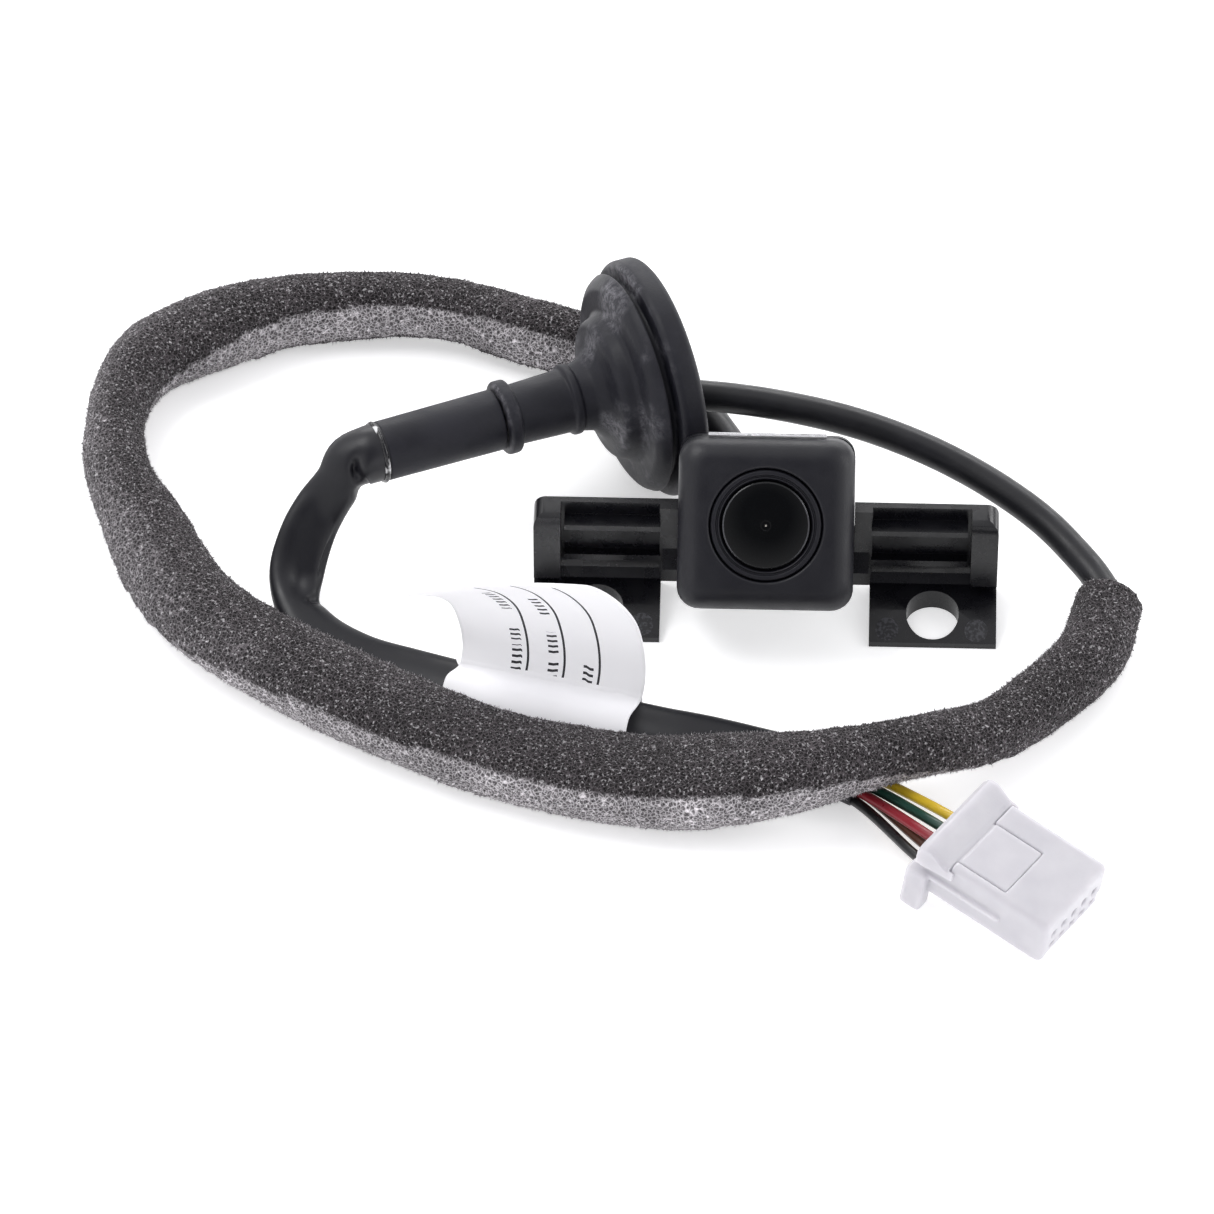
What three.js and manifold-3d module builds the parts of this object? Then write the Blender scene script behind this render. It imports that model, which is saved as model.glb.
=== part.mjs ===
// Vehicle backup camera: a tilted camera module in a two-winged bracket, with its foam-wrapped cable,
// rubber body grommet, flattened harness tube, label flag, wires and ten-way connector.
// Millimetres, +Z up. The bracket's feet stand on z = 0, the bracket's width runs along X, and the lens
// looks towards -Y and upwards. The origin is on the table under the middle of the camera and bracket.
import * as THREE from 'three';
import { mergeVertices } from 'three/addons/utils/BufferGeometryUtils.js';
import Module from 'manifold-3d';

const wasm = await Module();
wasm.setup();

// ---------------------------------------------------------------- driving dimensions
const GAP = 0.3;                       // air left between neighbouring pieces

// Camera module, in its own frame: x right, y up the front face, z out along the lens from the front face
const MODULE_WIDTH = 23.6;
const MODULE_HEIGHT = 23.0;
const MODULE_DEPTH = 12.3;
const MODULE_CORNER = 2.6;             // corner radius seen from the front
const MODULE_EDGE = 2.4;               // rounding of the front edges
const FRONT_SHELL_DEPTH = 7.6;
const FACE_THICKNESS = 3.0;            // front wall around the lens
const BEZEL_SEAT = -2.0;               // floor of the recess that holds the lens and its ring
const REAR_WALL = 1.5;
const SHELL_WALL = 1.7;
const LENS_ELEVATION = 41;             // degrees above the table
const FACE_HEIGHT = 19.9;              // front face centre above the table
const FACE_SETBACK = 2.6;              // front face centre behind the feet's front edges
const BEZEL_RADIUS = 7.4;
const GLASS_RADIUS = 5.9;
const BARREL_RADIUS = 5.2;
const INNER_LENS_RADIUS = 4.4;
const CAVITY_WIDTH = MODULE_WIDTH - 2 * SHELL_WALL;
const CAVITY_HEIGHT = MODULE_HEIGHT - 2 * SHELL_WALL;
const CAVITY_CORNER = 1.4;
const BOSS_RADIUS = 2.2;
const BOARD_SIZE = 17.0;
const BOARD_NOTCH = 2.6;               // corner cut-outs that clear the screw bosses
const BOARD_THICKNESS = 0.7;
const SENSOR_BOARD_BACK = -8.4;
const POWER_BOARD_BACK = -10.5;
const SENSOR = { half: 2.6, back: -7.4, front: -6.8 };
const FILTER = { half: 2.7, back: -6.5, front: -6.2 };
const HEADER = { half: 5.0, low: -7.3, high: -5.9 };
const SHANK_RADIUS = 0.9;              // of every screw
const HOUSING_SCREW = { headRadius: 1.6, headHeight: 0.8, length: 7.2 };
const BRACKET_SCREW = { headRadius: 1.8, headHeight: 1.1, length: 4.9 };
const HOUSING_SCREW_SPREAD = 8.9;      // screw centres from the lens axis, both ways
const GLAND_HEIGHT = 4.0;              // gland axis above the module's middle
const GLAND_LENGTH = 6.0;
const GLAND_NECK_RADIUS = 2.6;         // where the gland passes through the rear wall
const FILM = { half: 7.9, thickness: 0.2, back: -6.5, front: -2.8 };

// Bracket, in the stand frame: y from the feet's front edges, z from the table
const BRACKET_HALF = 31.2;
const WING_INNER = 14.1;
const PILLAR_WIDTH = 3.6;
const WALL_FRONT = 10.4;
const WALL_BACK = 11.4;
const WALL_TOP = 16.0;
const ARM_FRONT = 9.4;
const PILLAR_FRONT = 7.0;
const UPPER_RIB = { front: 8.1, low: 12.9, high: 13.8 };
const LOWER_RIB = { front: 9.0, low: 6.5, high: 7.5 };
const ARM_BOTTOM = 2.3;
const FOOT_HOLE_RADIUS = 3.55;
const FOOT_HOLE_X = 22.6;
const FOOT_HOLE_Y = 4.15;
const CHEEK_THICKNESS = 1.8;
const BRIDGE_THICKNESS = 1.8;
const WING_CORNER = 1.6;               // rounding of the outer top corners
const BRIDGE_LOW = -7.0;
const BRIDGE_HIGH = -0.6;
const BRACKET_SCREW_X = 6.5;
const BRACKET_SCREW_Y = -3.8;

// The stand frame's front edge lies this far in front of the origin
const STAND_SHIFT = 8.446;

// Cable, foam and grommet
const CABLE_RADIUS = 2.1;
const FOAM_RADIUS = 4.8;
const FOAM_BORE = 3.2;
const GROMMET_MOUTH = new THREE.Vector3(-14.3, 26.7, 16.6);
const GROMMET_AXIS = new THREE.Vector3(-0.913, -0.407, 0.012).normalize();
const GROMMET_LENGTH = 24.3;
const SLEEVE_START = GROMMET_LENGTH + GAP;
const SLEEVE_END = 41.4;
const SLEEVE_RADIUS = 4.2;
const BEAD_WIDTH = 0.6;

// Harness tube, label, wires and connector
const TUBE_HALF_WIDTH = 3.8;
const TUBE_HALF_HEIGHT = 1.6;
const TUBE_REST = 2.4;                 // tube centre above the table under the label
const LABEL_WIDTH = 25.0;              // along the tube
const LABEL_THICKNESS = 0.3;
const LABEL_CENTRE = new THREE.Vector3(-29.4, -23.4, TUBE_REST);
const LABEL_HEADING = -16;             // degrees, the tube's direction under the label
const WIRE_RADIUS = 0.7;
const CONNECTOR_CENTRE = new THREE.Vector3(32.6, -55.1, 1.25);
const CONNECTOR_HEADING = -34.5;       // degrees, mating end first
const CONNECTOR_PITCH = 8.5;           // degrees, mating end down, as its rear leg props it up
const CONNECTOR_LENGTH = 19.8;
const CONNECTOR_WIDTH = 14.4;
const CONNECTOR_BASE = 0.5;            // housing's flat bottom above its base plane
const CONNECTOR_TOP = 8.2;
const CAVITY_PITCH = 2.3;
const CAVITY_SIZE = 1.7;
const CAVITY_ROWS = [2.5, 4.8];        // heights of the two rows above the base plane
const CAVITY_COLUMNS = [-2, -1, 0, 1, 2];
const CAVITY_BACK = 2.8;               // from the rear face to the cavities
const WIRE_HOLE_RADIUS = 1.0;
const TERMINAL_SIZE = 1.1;
// The leg and the rail on the near side, as distances from the housing's rear face and near wall
const LEG = { behind: 1.4, ahead: 1.8, outside: 1.4, inside: 1.2, depth: 2.45, top: 5.9 };
const RAIL = { behind: 0.2, length: 13.0, outside: 0.6, inside: 1.0, low: 4.9, top: 5.9 };
const LEVER_OFFSET = -1.4;             // lever's middle, across the housing
const LEVER_WIDTH = 8.4;
const LEVER_ROOT = 2.0;                // hinge line, along the housing from its middle
const LEVER_REACH = -5.2;              // rear end of the tongue
const LEVER_BOTTOM = 7.2;
const WEB_TOP = 7.7;                   // the thin valley between the tongue and the lip
const LIP = { length: 2.2, height: 2.6, corner: 1.0, middle: 8.2, inset: 0.3 };
const POCKET_FLOOR = 6.0;              // the lip comes down to just above this when it is pressed
const RETAINER = { length: 5.0, thickness: 0.7, setback: 0.6, near: 1.4, far: 0.4 };

// ---------------------------------------------------------------- solid helpers
function toManifold(geometry) {
  const bare = geometry.index ? geometry.toNonIndexed() : geometry.clone();
  bare.deleteAttribute('normal');
  bare.deleteAttribute('uv');
  const merged = mergeVertices(bare, 1e-4);
  const vertProperties = Float32Array.from(merged.attributes.position.array);
  const triVerts = Uint32Array.from(merged.index.array);
  return new wasm.Manifold(new wasm.Mesh({ numProp: 3, vertProperties, triVerts }));
}

function toGeometry(manifold) {
  const mesh = manifold.getMesh();
  const geometry = new THREE.BufferGeometry();
  const positions = new Float32Array(mesh.numVert * 3);
  for (let i = 0; i < mesh.numVert; i += 1) {
    for (let k = 0; k < 3; k += 1) {
      positions[3 * i + k] = mesh.vertProperties[mesh.numProp * i + k];
    }
  }
  geometry.setAttribute('position', new THREE.BufferAttribute(positions, 3));
  geometry.setIndex(Array.from(mesh.triVerts));
  geometry.computeVertexNormals();
  return geometry;
}

function join(...geometries) {
  return toGeometry(geometries.map(toManifold).reduce((sum, next) => sum.add(next)));
}

function cut(base, ...tools) {
  const solids = tools.map(toManifold);
  return toGeometry(solids.reduce((left, tool) => left.subtract(tool), toManifold(base)));
}

function common(first, second) {
  return toGeometry(toManifold(first).intersect(toManifold(second)));
}

function box(x0, x1, y0, y1, z0, z1) {
  const geometry = new THREE.BoxGeometry(x1 - x0, y1 - y0, z1 - z0);
  return geometry.translate((x0 + x1) / 2, (y0 + y1) / 2, (z0 + z1) / 2);
}

function rodZ(radius, z0, z1, x = 0, y = 0, sides = 24) {
  const geometry = new THREE.CylinderGeometry(radius, radius, z1 - z0, sides);
  return geometry.rotateX(Math.PI / 2).translate(x, y, (z0 + z1) / 2);
}

// Turns a closed profile of [radius, z] pairs, listed anticlockwise, about the z axis.
function turned(profile, sides = 32) {
  const points = [...profile, profile[0]].map(([radius, z]) => new THREE.Vector2(radius, z));
  return new THREE.LatheGeometry(points, sides).rotateX(Math.PI / 2);
}

// A turned solid whose profile starts and ends on the axis.
function turnedFull(profile, sides = 32) {
  const points = profile.map(([radius, z]) => new THREE.Vector2(radius, z));
  return new THREE.LatheGeometry(points, sides).rotateX(Math.PI / 2);
}

function ringZ(outer, inner, z0, z1, sides = 32) {
  const shape = new THREE.Shape().absarc(0, 0, outer, 0, 2 * Math.PI);
  shape.holes.push(new THREE.Path().absarc(0, 0, inner, 0, 2 * Math.PI, true));
  const geometry = new THREE.ExtrudeGeometry(shape, {
    depth: z1 - z0,
    bevelEnabled: false,
    curveSegments: sides / 2,
  });
  return geometry.translate(0, 0, z0);
}

function roundedRectangle(width, height, radius) {
  const x = width / 2;
  const y = height / 2;
  const shape = new THREE.Shape();
  shape.moveTo(-x + radius, -y);
  shape.lineTo(x - radius, -y);
  shape.absarc(x - radius, -y + radius, radius, -Math.PI / 2, 0);
  shape.lineTo(x, y - radius);
  shape.absarc(x - radius, y - radius, radius, 0, Math.PI / 2);
  shape.lineTo(-x + radius, y);
  shape.absarc(-x + radius, y - radius, radius, Math.PI / 2, Math.PI);
  shape.lineTo(-x, -y + radius);
  shape.absarc(-x + radius, -y + radius, radius, Math.PI, 1.5 * Math.PI);
  return shape;
}

function slabZ(width, height, radius, z0, z1, curveSegments = 5) {
  const geometry = new THREE.ExtrudeGeometry(roundedRectangle(width, height, radius), {
    depth: z1 - z0,
    bevelEnabled: false,
    curveSegments,
  });
  return geometry.translate(0, 0, z0);
}

// Extrudes an outline of [y, z] pairs along X from x0 to x1.
function profileAlongX(outline, x0, x1) {
  const shape = new THREE.Shape(outline.map(([y, z]) => new THREE.Vector2(y, z)));
  const geometry = new THREE.ExtrudeGeometry(shape, { depth: x1 - x0, bevelEnabled: false });
  const turn = new THREE.Matrix4().makeBasis(
    new THREE.Vector3(0, 1, 0),
    new THREE.Vector3(0, 0, 1),
    new THREE.Vector3(1, 0, 0),
  );
  return geometry.applyMatrix4(turn).translate(x0, 0, 0);
}

function ovalShape(halfAcross, halfUp, sides) {
  const points = [];
  for (let i = 0; i < sides; i += 1) {
    const angle = (2 * Math.PI * (i + 0.5)) / sides;
    points.push(new THREE.Vector2(halfUp * Math.cos(angle), halfAcross * Math.sin(angle)));
  }
  return new THREE.Shape(points);
}

function curveThrough(points) {
  const corners = points.map((point) => new THREE.Vector3(...point));
  return new THREE.CatmullRomCurve3(corners, false, 'centripetal');
}

function swept(shape, points, steps) {
  const extrudePath = curveThrough(points);
  return new THREE.ExtrudeGeometry(shape, { steps, extrudePath, bevelEnabled: false });
}

function mirrored(geometry) {
  const copy = geometry.index ? geometry.toNonIndexed() : geometry.clone();
  copy.scale(-1, 1, 1);
  const position = copy.attributes.position;
  const a = new THREE.Vector3();
  const b = new THREE.Vector3();
  for (let i = 0; i < position.count; i += 3) {
    a.fromBufferAttribute(position, i + 1);
    b.fromBufferAttribute(position, i + 2);
    position.setXYZ(i + 1, b.x, b.y, b.z);
    position.setXYZ(i + 2, a.x, a.y, a.z);
  }
  return copy;
}

// ---------------------------------------------------------------- materials
const LOOKS = {
  shell: { color: 0x24252a, roughness: 0.5, metalness: 0.0 },
  bracketPlastic: { color: 0x121214, roughness: 0.28, metalness: 0.0 },
  glass: { color: 0x10161a, roughness: 0.05, metalness: 0.0 },
  barrel: { color: 0x0b0b0c, roughness: 0.4, metalness: 0.2 },
  rubber: { color: 0x2b2b2f, roughness: 0.75, metalness: 0.0 },
  jacket: { color: 0x1c1c1f, roughness: 0.45, metalness: 0.0 },
  vinyl: { color: 0x131315, roughness: 0.2, metalness: 0.0 },
  foam: { color: 0x4a4546, roughness: 1.0, metalness: 0.0 },
  board: { color: 0x14532d, roughness: 0.5, metalness: 0.0 },
  chip: { color: 0x1a1a1c, roughness: 0.3, metalness: 0.1 },
  steel: { color: 0x9a9ca0, roughness: 0.35, metalness: 0.9 },
  tin: { color: 0xc8c6bf, roughness: 0.3, metalness: 0.9 },
  nylon: { color: 0xebe9ee, roughness: 0.45, metalness: 0.0 },
  paper: { color: 0xf0eef2, roughness: 0.6, metalness: 0.0 },
  film: { color: 0xe8e8ea, roughness: 0.2, metalness: 0.0 },
  glue: { color: 0xb9b9b4, roughness: 0.25, metalness: 0.0 },
  black: { color: 0x141416, roughness: 0.4, metalness: 0.0 },
  red: { color: 0x9c1420, roughness: 0.4, metalness: 0.0 },
  green: { color: 0x0f4a36, roughness: 0.4, metalness: 0.0 },
  yellow: { color: 0xd8b81e, roughness: 0.4, metalness: 0.0 },
  brown: { color: 0x5a2d1e, roughness: 0.4, metalness: 0.0 },
};

function piece(name, geometry, look) {
  const mesh = new THREE.Mesh(geometry, new THREE.MeshStandardMaterial(LOOKS[look]));
  mesh.name = name;
  return mesh;
}

// ---------------------------------------------------------------- camera module
// A slab with the outline of the module's hollow, grown all round.
function hollowSlab(grown, z0, z1, corner = CAVITY_CORNER) {
  return slabZ(CAVITY_WIDTH + 2 * grown, CAVITY_HEIGHT + 2 * grown, corner, z0, z1);
}

function frontHousing() {
  const outline = roundedRectangle(
    MODULE_WIDTH - 2 * MODULE_EDGE,
    MODULE_HEIGHT - 2 * MODULE_EDGE,
    MODULE_CORNER - MODULE_EDGE,
  );
  const pillow = new THREE.ExtrudeGeometry(outline, {
    depth: MODULE_DEPTH,
    bevelThickness: MODULE_EDGE,
    bevelSize: MODULE_EDGE,
    bevelSegments: 3,
    curveSegments: 4,
  }).translate(0, 0, -MODULE_DEPTH - MODULE_EDGE);
  const keep = box(-MODULE_WIDTH, MODULE_WIDTH, -MODULE_HEIGHT, MODULE_HEIGHT, -FRONT_SHELL_DEPTH, 1);
  const back = -FRONT_SHELL_DEPTH;
  const hollow = hollowSlab(0, back - 1, -FACE_THICKNESS);
  const bore = rodZ(BARREL_RADIUS + GAP, -FACE_THICKNESS - 1, 1, 0, 0, 32);
  const bezelSeat = rodZ(BEZEL_RADIUS + GAP, BEZEL_SEAT, 1, 0, 0, 40);
  const gasketGroove = cut(hollowSlab(1.1, back - 1, back + 0.9), hollowSlab(-0.1, back - 2, back + 2));
  const shell = cut(common(pillow, keep), hollow, bore, bezelSeat);
  const bosses = screwCentres().map(([x, y]) => rodZ(BOSS_RADIUS, back, -FACE_THICKNESS + 0.1, x, y, 16));
  const pilots = screwCentres().map(([x, y]) => rodZ(SHANK_RADIUS + GAP, back - 1, -4.4, x, y, 12));
  return cut(join(shell, ...bosses), gasketGroove, ...pilots);
}

function housingGasket() {
  const back = -FRONT_SHELL_DEPTH;
  return cut(hollowSlab(0.8, back, back + 0.6), hollowSlab(0.2, back - 1, back + 2));
}

function screwCentres() {
  const s = HOUSING_SCREW_SPREAD;
  return [[-s, s], [s, s], [s, -s], [-s, -s]];
}

function rearHousing() {
  const shellFront = -FRONT_SHELL_DEPTH - GAP;
  const outline = slabZ(MODULE_WIDTH, MODULE_HEIGHT, MODULE_CORNER, -MODULE_DEPTH, shellFront);
  const hollow = hollowSlab(0, -MODULE_DEPTH + REAR_WALL, 0);
  const bosses = screwCentres().map(([x, y]) => rodZ(BOSS_RADIUS, -MODULE_DEPTH + 0.5, shellFront, x, y, 16));
  const screwHoles = screwCentres().flatMap(([x, y]) => [
    rodZ(SHANK_RADIUS + GAP, -MODULE_DEPTH - 1, 0, x, y, 12),
    rodZ(HOUSING_SCREW.headRadius + GAP, -MODULE_DEPTH - 1, -MODULE_DEPTH + 1.2, x, y, 16),
  ]);
  const glandHole = rodZ(GLAND_NECK_RADIUS + GAP, -MODULE_DEPTH - 1, 0, 0, GLAND_HEIGHT, 20);
  const bracketHoles = [-BRACKET_SCREW_X, BRACKET_SCREW_X].map((x) => (
    rodZ(SHANK_RADIUS + GAP, -MODULE_DEPTH - 1, -MODULE_DEPTH + 3, x, BRACKET_SCREW_Y, 12)
  ));
  return cut(join(cut(outline, hollow), ...bosses), ...screwHoles, glandHole, ...bracketHoles);
}

// A pan-head screw along z: the shank points to +z and the head's top face is at z.
function screw(x, y, z, { headRadius, headHeight, length }) {
  const head = rodZ(headRadius, z, z + headHeight, 0, 0, 16);
  const shank = rodZ(SHANK_RADIUS, z + headHeight - 0.1, z + length, 0, 0, 12);
  const slotA = box(-0.8, 0.8, -0.2, 0.2, z - 1, z + 0.45);
  const slotB = box(-0.2, 0.2, -0.8, 0.8, z - 1, z + 0.45);
  return cut(join(head, shank), slotA, slotB).translate(x, y, 0);
}

function lensPieces() {
  const seat = BEZEL_SEAT + GAP;
  const ring = turned([
    [6.2, seat], [BEZEL_RADIUS, seat], [BEZEL_RADIUS, -0.1], [7.1, 0.25], [6.8, 0.25], [6.7, -0.15],
    [6.2, -0.15],
  ], 40);
  const seal = turned([
    [5.5, seat], [GLASS_RADIUS, seat], [GLASS_RADIUS, seat + 0.6], [5.5, seat + 0.6],
  ], 32);
  const barrelWall = turned([
    [4.2, -6.9], [BARREL_RADIUS, -6.9], [BARREL_RADIUS, -2.2], [4.7, -2.2], [4.7, -6.0], [4.2, -6.0],
  ], 32);
  const frontLens = turnedFull([
    [0, -1.1], [4.6, -1.1], [GLASS_RADIUS, -0.8], [GLASS_RADIUS, -0.2], [4.6, 0.15], [2.4, 0.42], [0, 0.5],
  ], 32);
  const rim = INNER_LENS_RADIUS;
  const secondLens = turnedFull([
    [0, -3.6], [3.4, -4.0], [rim, -4.0], [rim, -3.1], [3.4, -2.9], [0, -2.6],
  ], 24);
  const stop = ringZ(rim, 1.3, -4.5, -4.3, 24);
  const rearLens = turnedFull([
    [0, -5.9], [3.0, -5.7], [rim, -5.7], [rim, -5.0], [3.0, -4.9], [0, -4.8],
  ], 24);
  return [
    piece('lens_retaining_ring', ring, 'shell'),
    piece('lens_seal', seal, 'rubber'),
    piece('lens_barrel', barrelWall, 'barrel'),
    piece('front_lens', frontLens, 'glass'),
    piece('second_lens', secondLens, 'glass'),
    piece('aperture_stop', stop, 'barrel'),
    piece('rear_lens', rearLens, 'glass'),
  ];
}

// A square board whose four corners are cut out, as a cross: its back is at z.
function boardWithNotches(z) {
  const half = BOARD_SIZE / 2;
  const arm = half - BOARD_NOTCH;
  const front = z + BOARD_THICKNESS;
  return join(box(-half, half, -arm, arm, z, front), box(-arm, arm, -half, half, z, front));
}

function electronics() {
  const squarePiece = ({ half, back, front }) => box(-half, half, -half, half, back, front);
  const headerBack = POWER_BOARD_BACK + BOARD_THICKNESS + GAP;
  const headerFront = SENSOR_BOARD_BACK - GAP;
  const header = box(-HEADER.half, HEADER.half, HEADER.low, HEADER.high, headerBack, headerFront);
  return [
    piece('ir_filter', squarePiece(FILTER), 'glass'),
    piece('image_sensor', squarePiece(SENSOR), 'chip'),
    piece('sensor_board', boardWithNotches(SENSOR_BOARD_BACK), 'board'),
    piece('board_header', header, 'chip'),
    piece('power_board', boardWithNotches(POWER_BOARD_BACK), 'board'),
  ];
}

function cableGland() {
  const back = -MODULE_DEPTH;
  const profile = [
    [CABLE_RADIUS + GAP, back - GLAND_LENGTH], [2.7, back - GLAND_LENGTH], [3.2, back - GLAND_LENGTH + 1.4],
    [3.6, back - 1.4], [4.0, back - 1.2], [4.0, back - GAP], [GLAND_NECK_RADIUS, back - GAP],
    [GLAND_NECK_RADIUS, back + 1.4], [CABLE_RADIUS + GAP, back + 1.4],
  ];
  return turned(profile, 24).translate(0, GLAND_HEIGHT, 0);
}

function cameraModule() {
  const group = new THREE.Group();
  group.position.set(0, FACE_SETBACK, FACE_HEIGHT);
  group.rotation.x = THREE.MathUtils.degToRad(90 - LENS_ELEVATION);
  group.add(piece('front_housing', frontHousing(), 'shell'));
  group.add(piece('rear_housing', rearHousing(), 'shell'));
  group.add(piece('housing_gasket', housingGasket(), 'rubber'));
  group.add(...lensPieces());
  group.add(...electronics());
  screwCentres().forEach(([x, y], i) => {
    const geometry = screw(x, y, -MODULE_DEPTH + 0.1, HOUSING_SCREW);
    group.add(piece(`housing_screw_${i + 1}`, geometry, 'steel'));
  });
  [['left', -BRACKET_SCREW_X], ['right', BRACKET_SCREW_X]].forEach(([side, x]) => {
    const headTop = -MODULE_DEPTH - GAP - BRIDGE_THICKNESS - GAP - BRACKET_SCREW.headHeight;
    const geometry = screw(x, BRACKET_SCREW_Y, headTop, BRACKET_SCREW);
    group.add(piece(`bracket_screw_${side}`, geometry, 'steel'));
  });
  group.add(piece('cable_gland', cableGland(), 'rubber'));
  const filmBottom = MODULE_HEIGHT / 2 + GAP;
  const film = box(-FILM.half, FILM.half, filmBottom, filmBottom + FILM.thickness, FILM.back, FILM.front);
  group.add(piece('top_film', film, 'film'));
  return group;
}

// ---------------------------------------------------------------- bracket
function moduleToStand(y, z) {
  const tilt = THREE.MathUtils.degToRad(90 - LENS_ELEVATION);
  return [
    FACE_SETBACK + y * Math.cos(tilt) - z * Math.sin(tilt),
    FACE_HEIGHT + y * Math.sin(tilt) + z * Math.cos(tilt),
  ];
}

function wing() {
  const outer = BRACKET_HALF;
  const pillarInner = outer - PILLAR_WIDTH;
  const footAndWall = profileAlongX([
    [0, 0], [WALL_BACK, 0], [WALL_BACK, WALL_TOP], [WALL_FRONT, WALL_TOP], [WALL_FRONT, 5.6], [10.0, 4.3],
    [8.9, 3.3], [4.5, 2.7], [0.9, 1.1], [0, 0.9],
  ], WING_INNER, outer);
  const ribs = [UPPER_RIB, LOWER_RIB].map(({ front, low, high }) => (
    box(WING_INNER + 0.1, pillarInner - 0.5, front, WALL_FRONT + 0.5, low, high)
  ));
  const pillar = profileAlongX([
    [PILLAR_FRONT, 4.8], [WALL_BACK, 4.8], [WALL_BACK, WALL_TOP], [8.4, WALL_TOP], [7.6, 15.6],
    [PILLAR_FRONT, 14.4],
  ], pillarInner, outer);
  const blank = join(footAndWall, ...ribs, pillar);
  const cornerX = outer - WING_CORNER;
  const cornerZ = WALL_TOP - WING_CORNER;
  const cornerTool = cut(
    box(cornerX, outer + 1, -1, WALL_BACK + 1, cornerZ, WALL_TOP + 1),
    rodZ(WING_CORNER, -2, WALL_BACK + 2, 0, 0, 24).rotateX(-Math.PI / 2).translate(cornerX, 0, cornerZ),
  );
  const hole = rodZ(FOOT_HOLE_RADIUS, -1, 8, FOOT_HOLE_X, FOOT_HOLE_Y, 40);
  return cut(blank, cornerTool, hole);
}

function cheek() {
  const highFar = moduleToStand(BRIDGE_HIGH, -MODULE_DEPTH - GAP - BRIDGE_THICKNESS);
  const highNear = moduleToStand(BRIDGE_HIGH, -MODULE_DEPTH - GAP);
  const inner = MODULE_WIDTH / 2 + GAP;
  return profileAlongX([
    [ARM_FRONT, ARM_BOTTOM], [WALL_BACK, ARM_BOTTOM], highFar, highNear,
    [WALL_BACK, WALL_TOP], [ARM_FRONT, WALL_TOP],
  ], inner, WING_INNER + 0.2);
}

function bracket() {
  const inner = MODULE_WIDTH / 2 + GAP;
  const tilt = THREE.MathUtils.degToRad(90 - LENS_ELEVATION);
  const plateBack = -MODULE_DEPTH - GAP - BRIDGE_THICKNESS;
  const holes = [-BRACKET_SCREW_X, BRACKET_SCREW_X].map((x) => (
    rodZ(SHANK_RADIUS + GAP, plateBack - 1, plateBack + 4, x, BRACKET_SCREW_Y, 12)
  ));
  const reach = inner + CHEEK_THICKNESS;
  const plate = box(-reach, reach, BRIDGE_LOW, BRIDGE_HIGH, plateBack, plateBack + BRIDGE_THICKNESS);
  const bridge = cut(plate, ...holes).rotateX(tilt).translate(0, FACE_SETBACK, FACE_HEIGHT);
  const side = join(wing(), cheek());
  return join(side, mirrored(side), bridge);
}

// ---------------------------------------------------------------- cable, foam and grommet
const FOAM_ROUTE = [
  [-23.7, 43.2, 5.2], [-33, 46.6, 5.2], [-45, 50.8, 5.2], [-57, 51.4, 5.2], [-69.5, 49, 5.2],
  [-79, 44.2, 5.2], [-86.2, 38.1, 5.2], [-89.4, 28.6, 5.2], [-88.6, 17.6, 5.2], [-84.2, 6.6, 5.2],
  [-76.5, -8.4, 5.2], [-67.8, -16.5, 5.2], [-51.3, -27, 5.2], [-35, -35, 5.2], [-18.5, -39.3, 5.2],
  [-6, -40.6, 6.6], [5.8, -40, 8.5], [14, -37.4, 8.5], [22, -34.4, 8], [30, -30, 6.4],
  [38, -21.8, 5.2], [43.8, -14, 5.2], [46.2, -4.8, 5.6],
];
const LEAD_OUT = [
  [-0.3, 13.8, 8.6], [-1.2, 17, 6.8], [-2.8, 20.2, 5.9], [-4.8, 23.8, 5.7], [-6.8, 27.4, 5.8],
  [-9.4, 32, 5.8], [-13.6, 37.8, 5.6], [-18.6, 41.6, 5.3],
];
const BARE_ROUTE = [
  [44.7, -0.7, 6], [41.9, 3.2, 6.8], [37.6, 8, 8], [31.9, 12.3, 9.5], [24.8, 16.4, 11], [17.8, 19.1, 12.5],
  [10.9, 20.7, 14], [4.1, 21.6, 15.2], [-3, 22.1, 16.2], [-11, 22.6, 16.6],
];

function grommetPoint(distance) {
  return GROMMET_MOUTH.clone().addScaledVector(GROMMET_AXIS, distance).toArray();
}

function cableRoute() {
  const throughGland = [1.1, -GLAND_LENGTH / 2, -GLAND_LENGTH].map((behind) => {
    const [y, z] = moduleToStand(GLAND_HEIGHT, -MODULE_DEPTH + behind);
    return [0, y - STAND_SHIFT, z];
  });
  const throughGrommet = [9, 13, 20, 28, 40.6].map(grommetPoint);
  return [...throughGland, ...LEAD_OUT, ...FOAM_ROUTE, ...BARE_ROUTE, ...throughGrommet];
}

function foamSleeve() {
  const shape = new THREE.Shape().absarc(0, 0, FOAM_RADIUS, 0, 2 * Math.PI);
  shape.holes.push(new THREE.Path().absarc(0, 0, FOAM_BORE, 0, 2 * Math.PI, true));
  return new THREE.ExtrudeGeometry(shape, {
    steps: 38,
    curveSegments: 6,
    extrudePath: curveThrough(FOAM_ROUTE),
    bevelEnabled: false,
  });
}

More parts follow.
